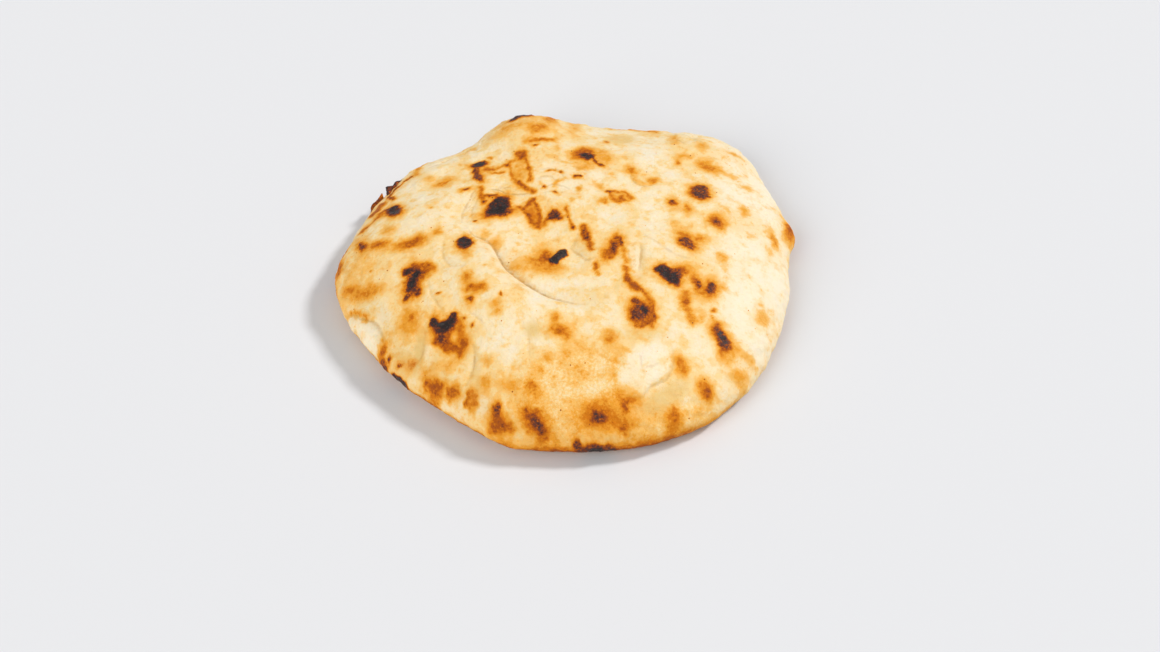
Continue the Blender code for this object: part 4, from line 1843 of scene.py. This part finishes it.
        # Grey patches on charcoal: partly cinders, partly painted sheen.
        ash_and_sheen_share = graph.times(graph.ease(toast, self.ash_and_sheen_fade), graph.patches(self.ash_and_sheen_patches))
        color = graph.mix(ash_and_sheen_share, color, self.ash_and_sheen)
        below = graph.times(graph.attribute("under"), graph.ease(toast, self.under_fade))
        return graph.mix(below, color, self.underside.add(graph))


@dataclass(frozen=True)
class Lamp:
    """A distant soft light, which lights the floor evenly.

    Attributes:
        name: Name of the light.
        place: Where the light comes from, seen from the bread.
        width: How wide it looks from the bread, in degrees.
        strength: Watts for each square metre.
        color: Colour, in linear light.
    """

    name: str
    place: Place
    width: float
    strength: float
    color: Color

    def add(self) -> None:
        """Adds the light to the scene, turned towards the bread."""
        lamp = bpy.data.lights.new(self.name, "SUN")
        lamp.angle = math.radians(self.width)
        lamp.energy = self.strength
        lamp.color = self.color
        holder = bpy.data.objects.new(self.name, lamp)
        holder.location = self.place
        holder.rotation_euler = (-Vector(self.place)).to_track_quat("-Z", "Y").to_euler()
        bpy.context.scene.collection.objects.link(holder)


@dataclass(frozen=True)
class PhotoCamera:
    """The camera, where the photo was taken from.

    Attributes:
        place: Where it stands, in millimetres.
        target: What it looks at, in millimetres.
        lens: Its focal length, in millimetres.
        sensor: Width of its sensor, in millimetres.
        roll: Its turn about its own line of sight, in degrees.
    """

    place: Place = (5.3, -712.7, 679.5)
    target: Place = (5.3, -26.3, 0.0)
    lens: float = 62.07
    sensor: float = 36.0
    roll: float = -2.02

    def add(self) -> None:
        """Adds the camera to the scene, which looks through it."""
        data = bpy.data.cameras.new("camera")
        data.sensor_width = self.sensor
        data.lens = self.lens
        camera = bpy.data.objects.new("camera", data)
        camera.rotation_mode = "QUATERNION"
        camera.location = Vector(self.place) * MM
        look = (Vector(self.target) - Vector(self.place)).to_track_quat("-Z", "Y")
        camera.rotation_quaternion = look @ Quaternion(UP, math.radians(self.roll))
        bpy.context.scene.collection.objects.link(camera)
        bpy.context.scene.camera = camera


@dataclass(frozen=True)
class Studio:
    """A pale floor and soft lights.

    Attributes:
        floor_size: Width of the floor, in metres.
        floor_gap: How far the floor lies under the bread, so that both show, in millimetres.
        floor_color: Colour of the floor, in linear light.
        floor_roughness: Roughness of the floor.
        key: The main light, from the right.
        fill: The warm soft light from the front left.
        sky: Strength of the white light from all round.
    """

    floor_size: float = 40.0
    floor_gap: float = 0.2
    floor_color: Color = (0.735, 0.750, 0.790)
    floor_roughness: float = 0.8
    key: Lamp = Lamp("key", (0.95, 0.40, 0.85), width=9, strength=2.1, color=(1.0, 0.985, 0.96))
    fill: Lamp = Lamp("fill", (-0.85, -0.85, 0.75), width=45, strength=1.69, color=(1.0, 0.96, 0.88))
    sky: float = 0.42

    def floor(self) -> None:
        """Builds the floor, marked as stage."""
        sheet = bmesh.new()
        bmesh.ops.create_grid(sheet, x_segments=1, y_segments=1, size=self.floor_size / 2)
        mesh = bpy.data.meshes.new("floor")
        sheet.to_mesh(mesh)
        sheet.free()
        piece = bpy.data.objects.new("floor", mesh)
        piece.location.z = -self.floor_gap * MM
        bpy.context.scene.collection.objects.link(piece)
        material = bpy.data.materials.new("floor_paint")
        material.use_nodes = True
        shader = material.node_tree.nodes["Principled BSDF"]
        shader.inputs["Base Color"].default_value = (*self.floor_color, 1)
        shader.inputs["Roughness"].default_value = self.floor_roughness
        mesh.materials.append(material)
        piece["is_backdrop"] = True

    def lights(self) -> None:
        """Adds the lamps and the sky."""
        self.key.add()
        self.fill.add()
        world = bpy.data.worlds.new("studio")
        world.use_nodes = True
        background = world.node_tree.nodes["Background"]
        background.inputs["Color"].default_value = (1, 1, 1, 1)
        background.inputs["Strength"].default_value = self.sky
        bpy.context.scene.world = world


def main() -> None:
    """Builds the bread's looks and the studio."""
    cad_low, cad_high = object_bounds()
    tree = Form().tree()
    crust = Crust().build(tree, cad_low, cad_high)
    crust.data.materials.append(BakedDough().make())
    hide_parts(NODE)
    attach(crust, "root")
    LOG.info("crust: %d faces", len(crust.data.polygons))
    studio = Studio()
    studio.floor()
    studio.lights()
    PhotoCamera().add()
    bpy.context.scene.view_settings.view_transform = "Standard"


if __name__ == "__main__":
    main()
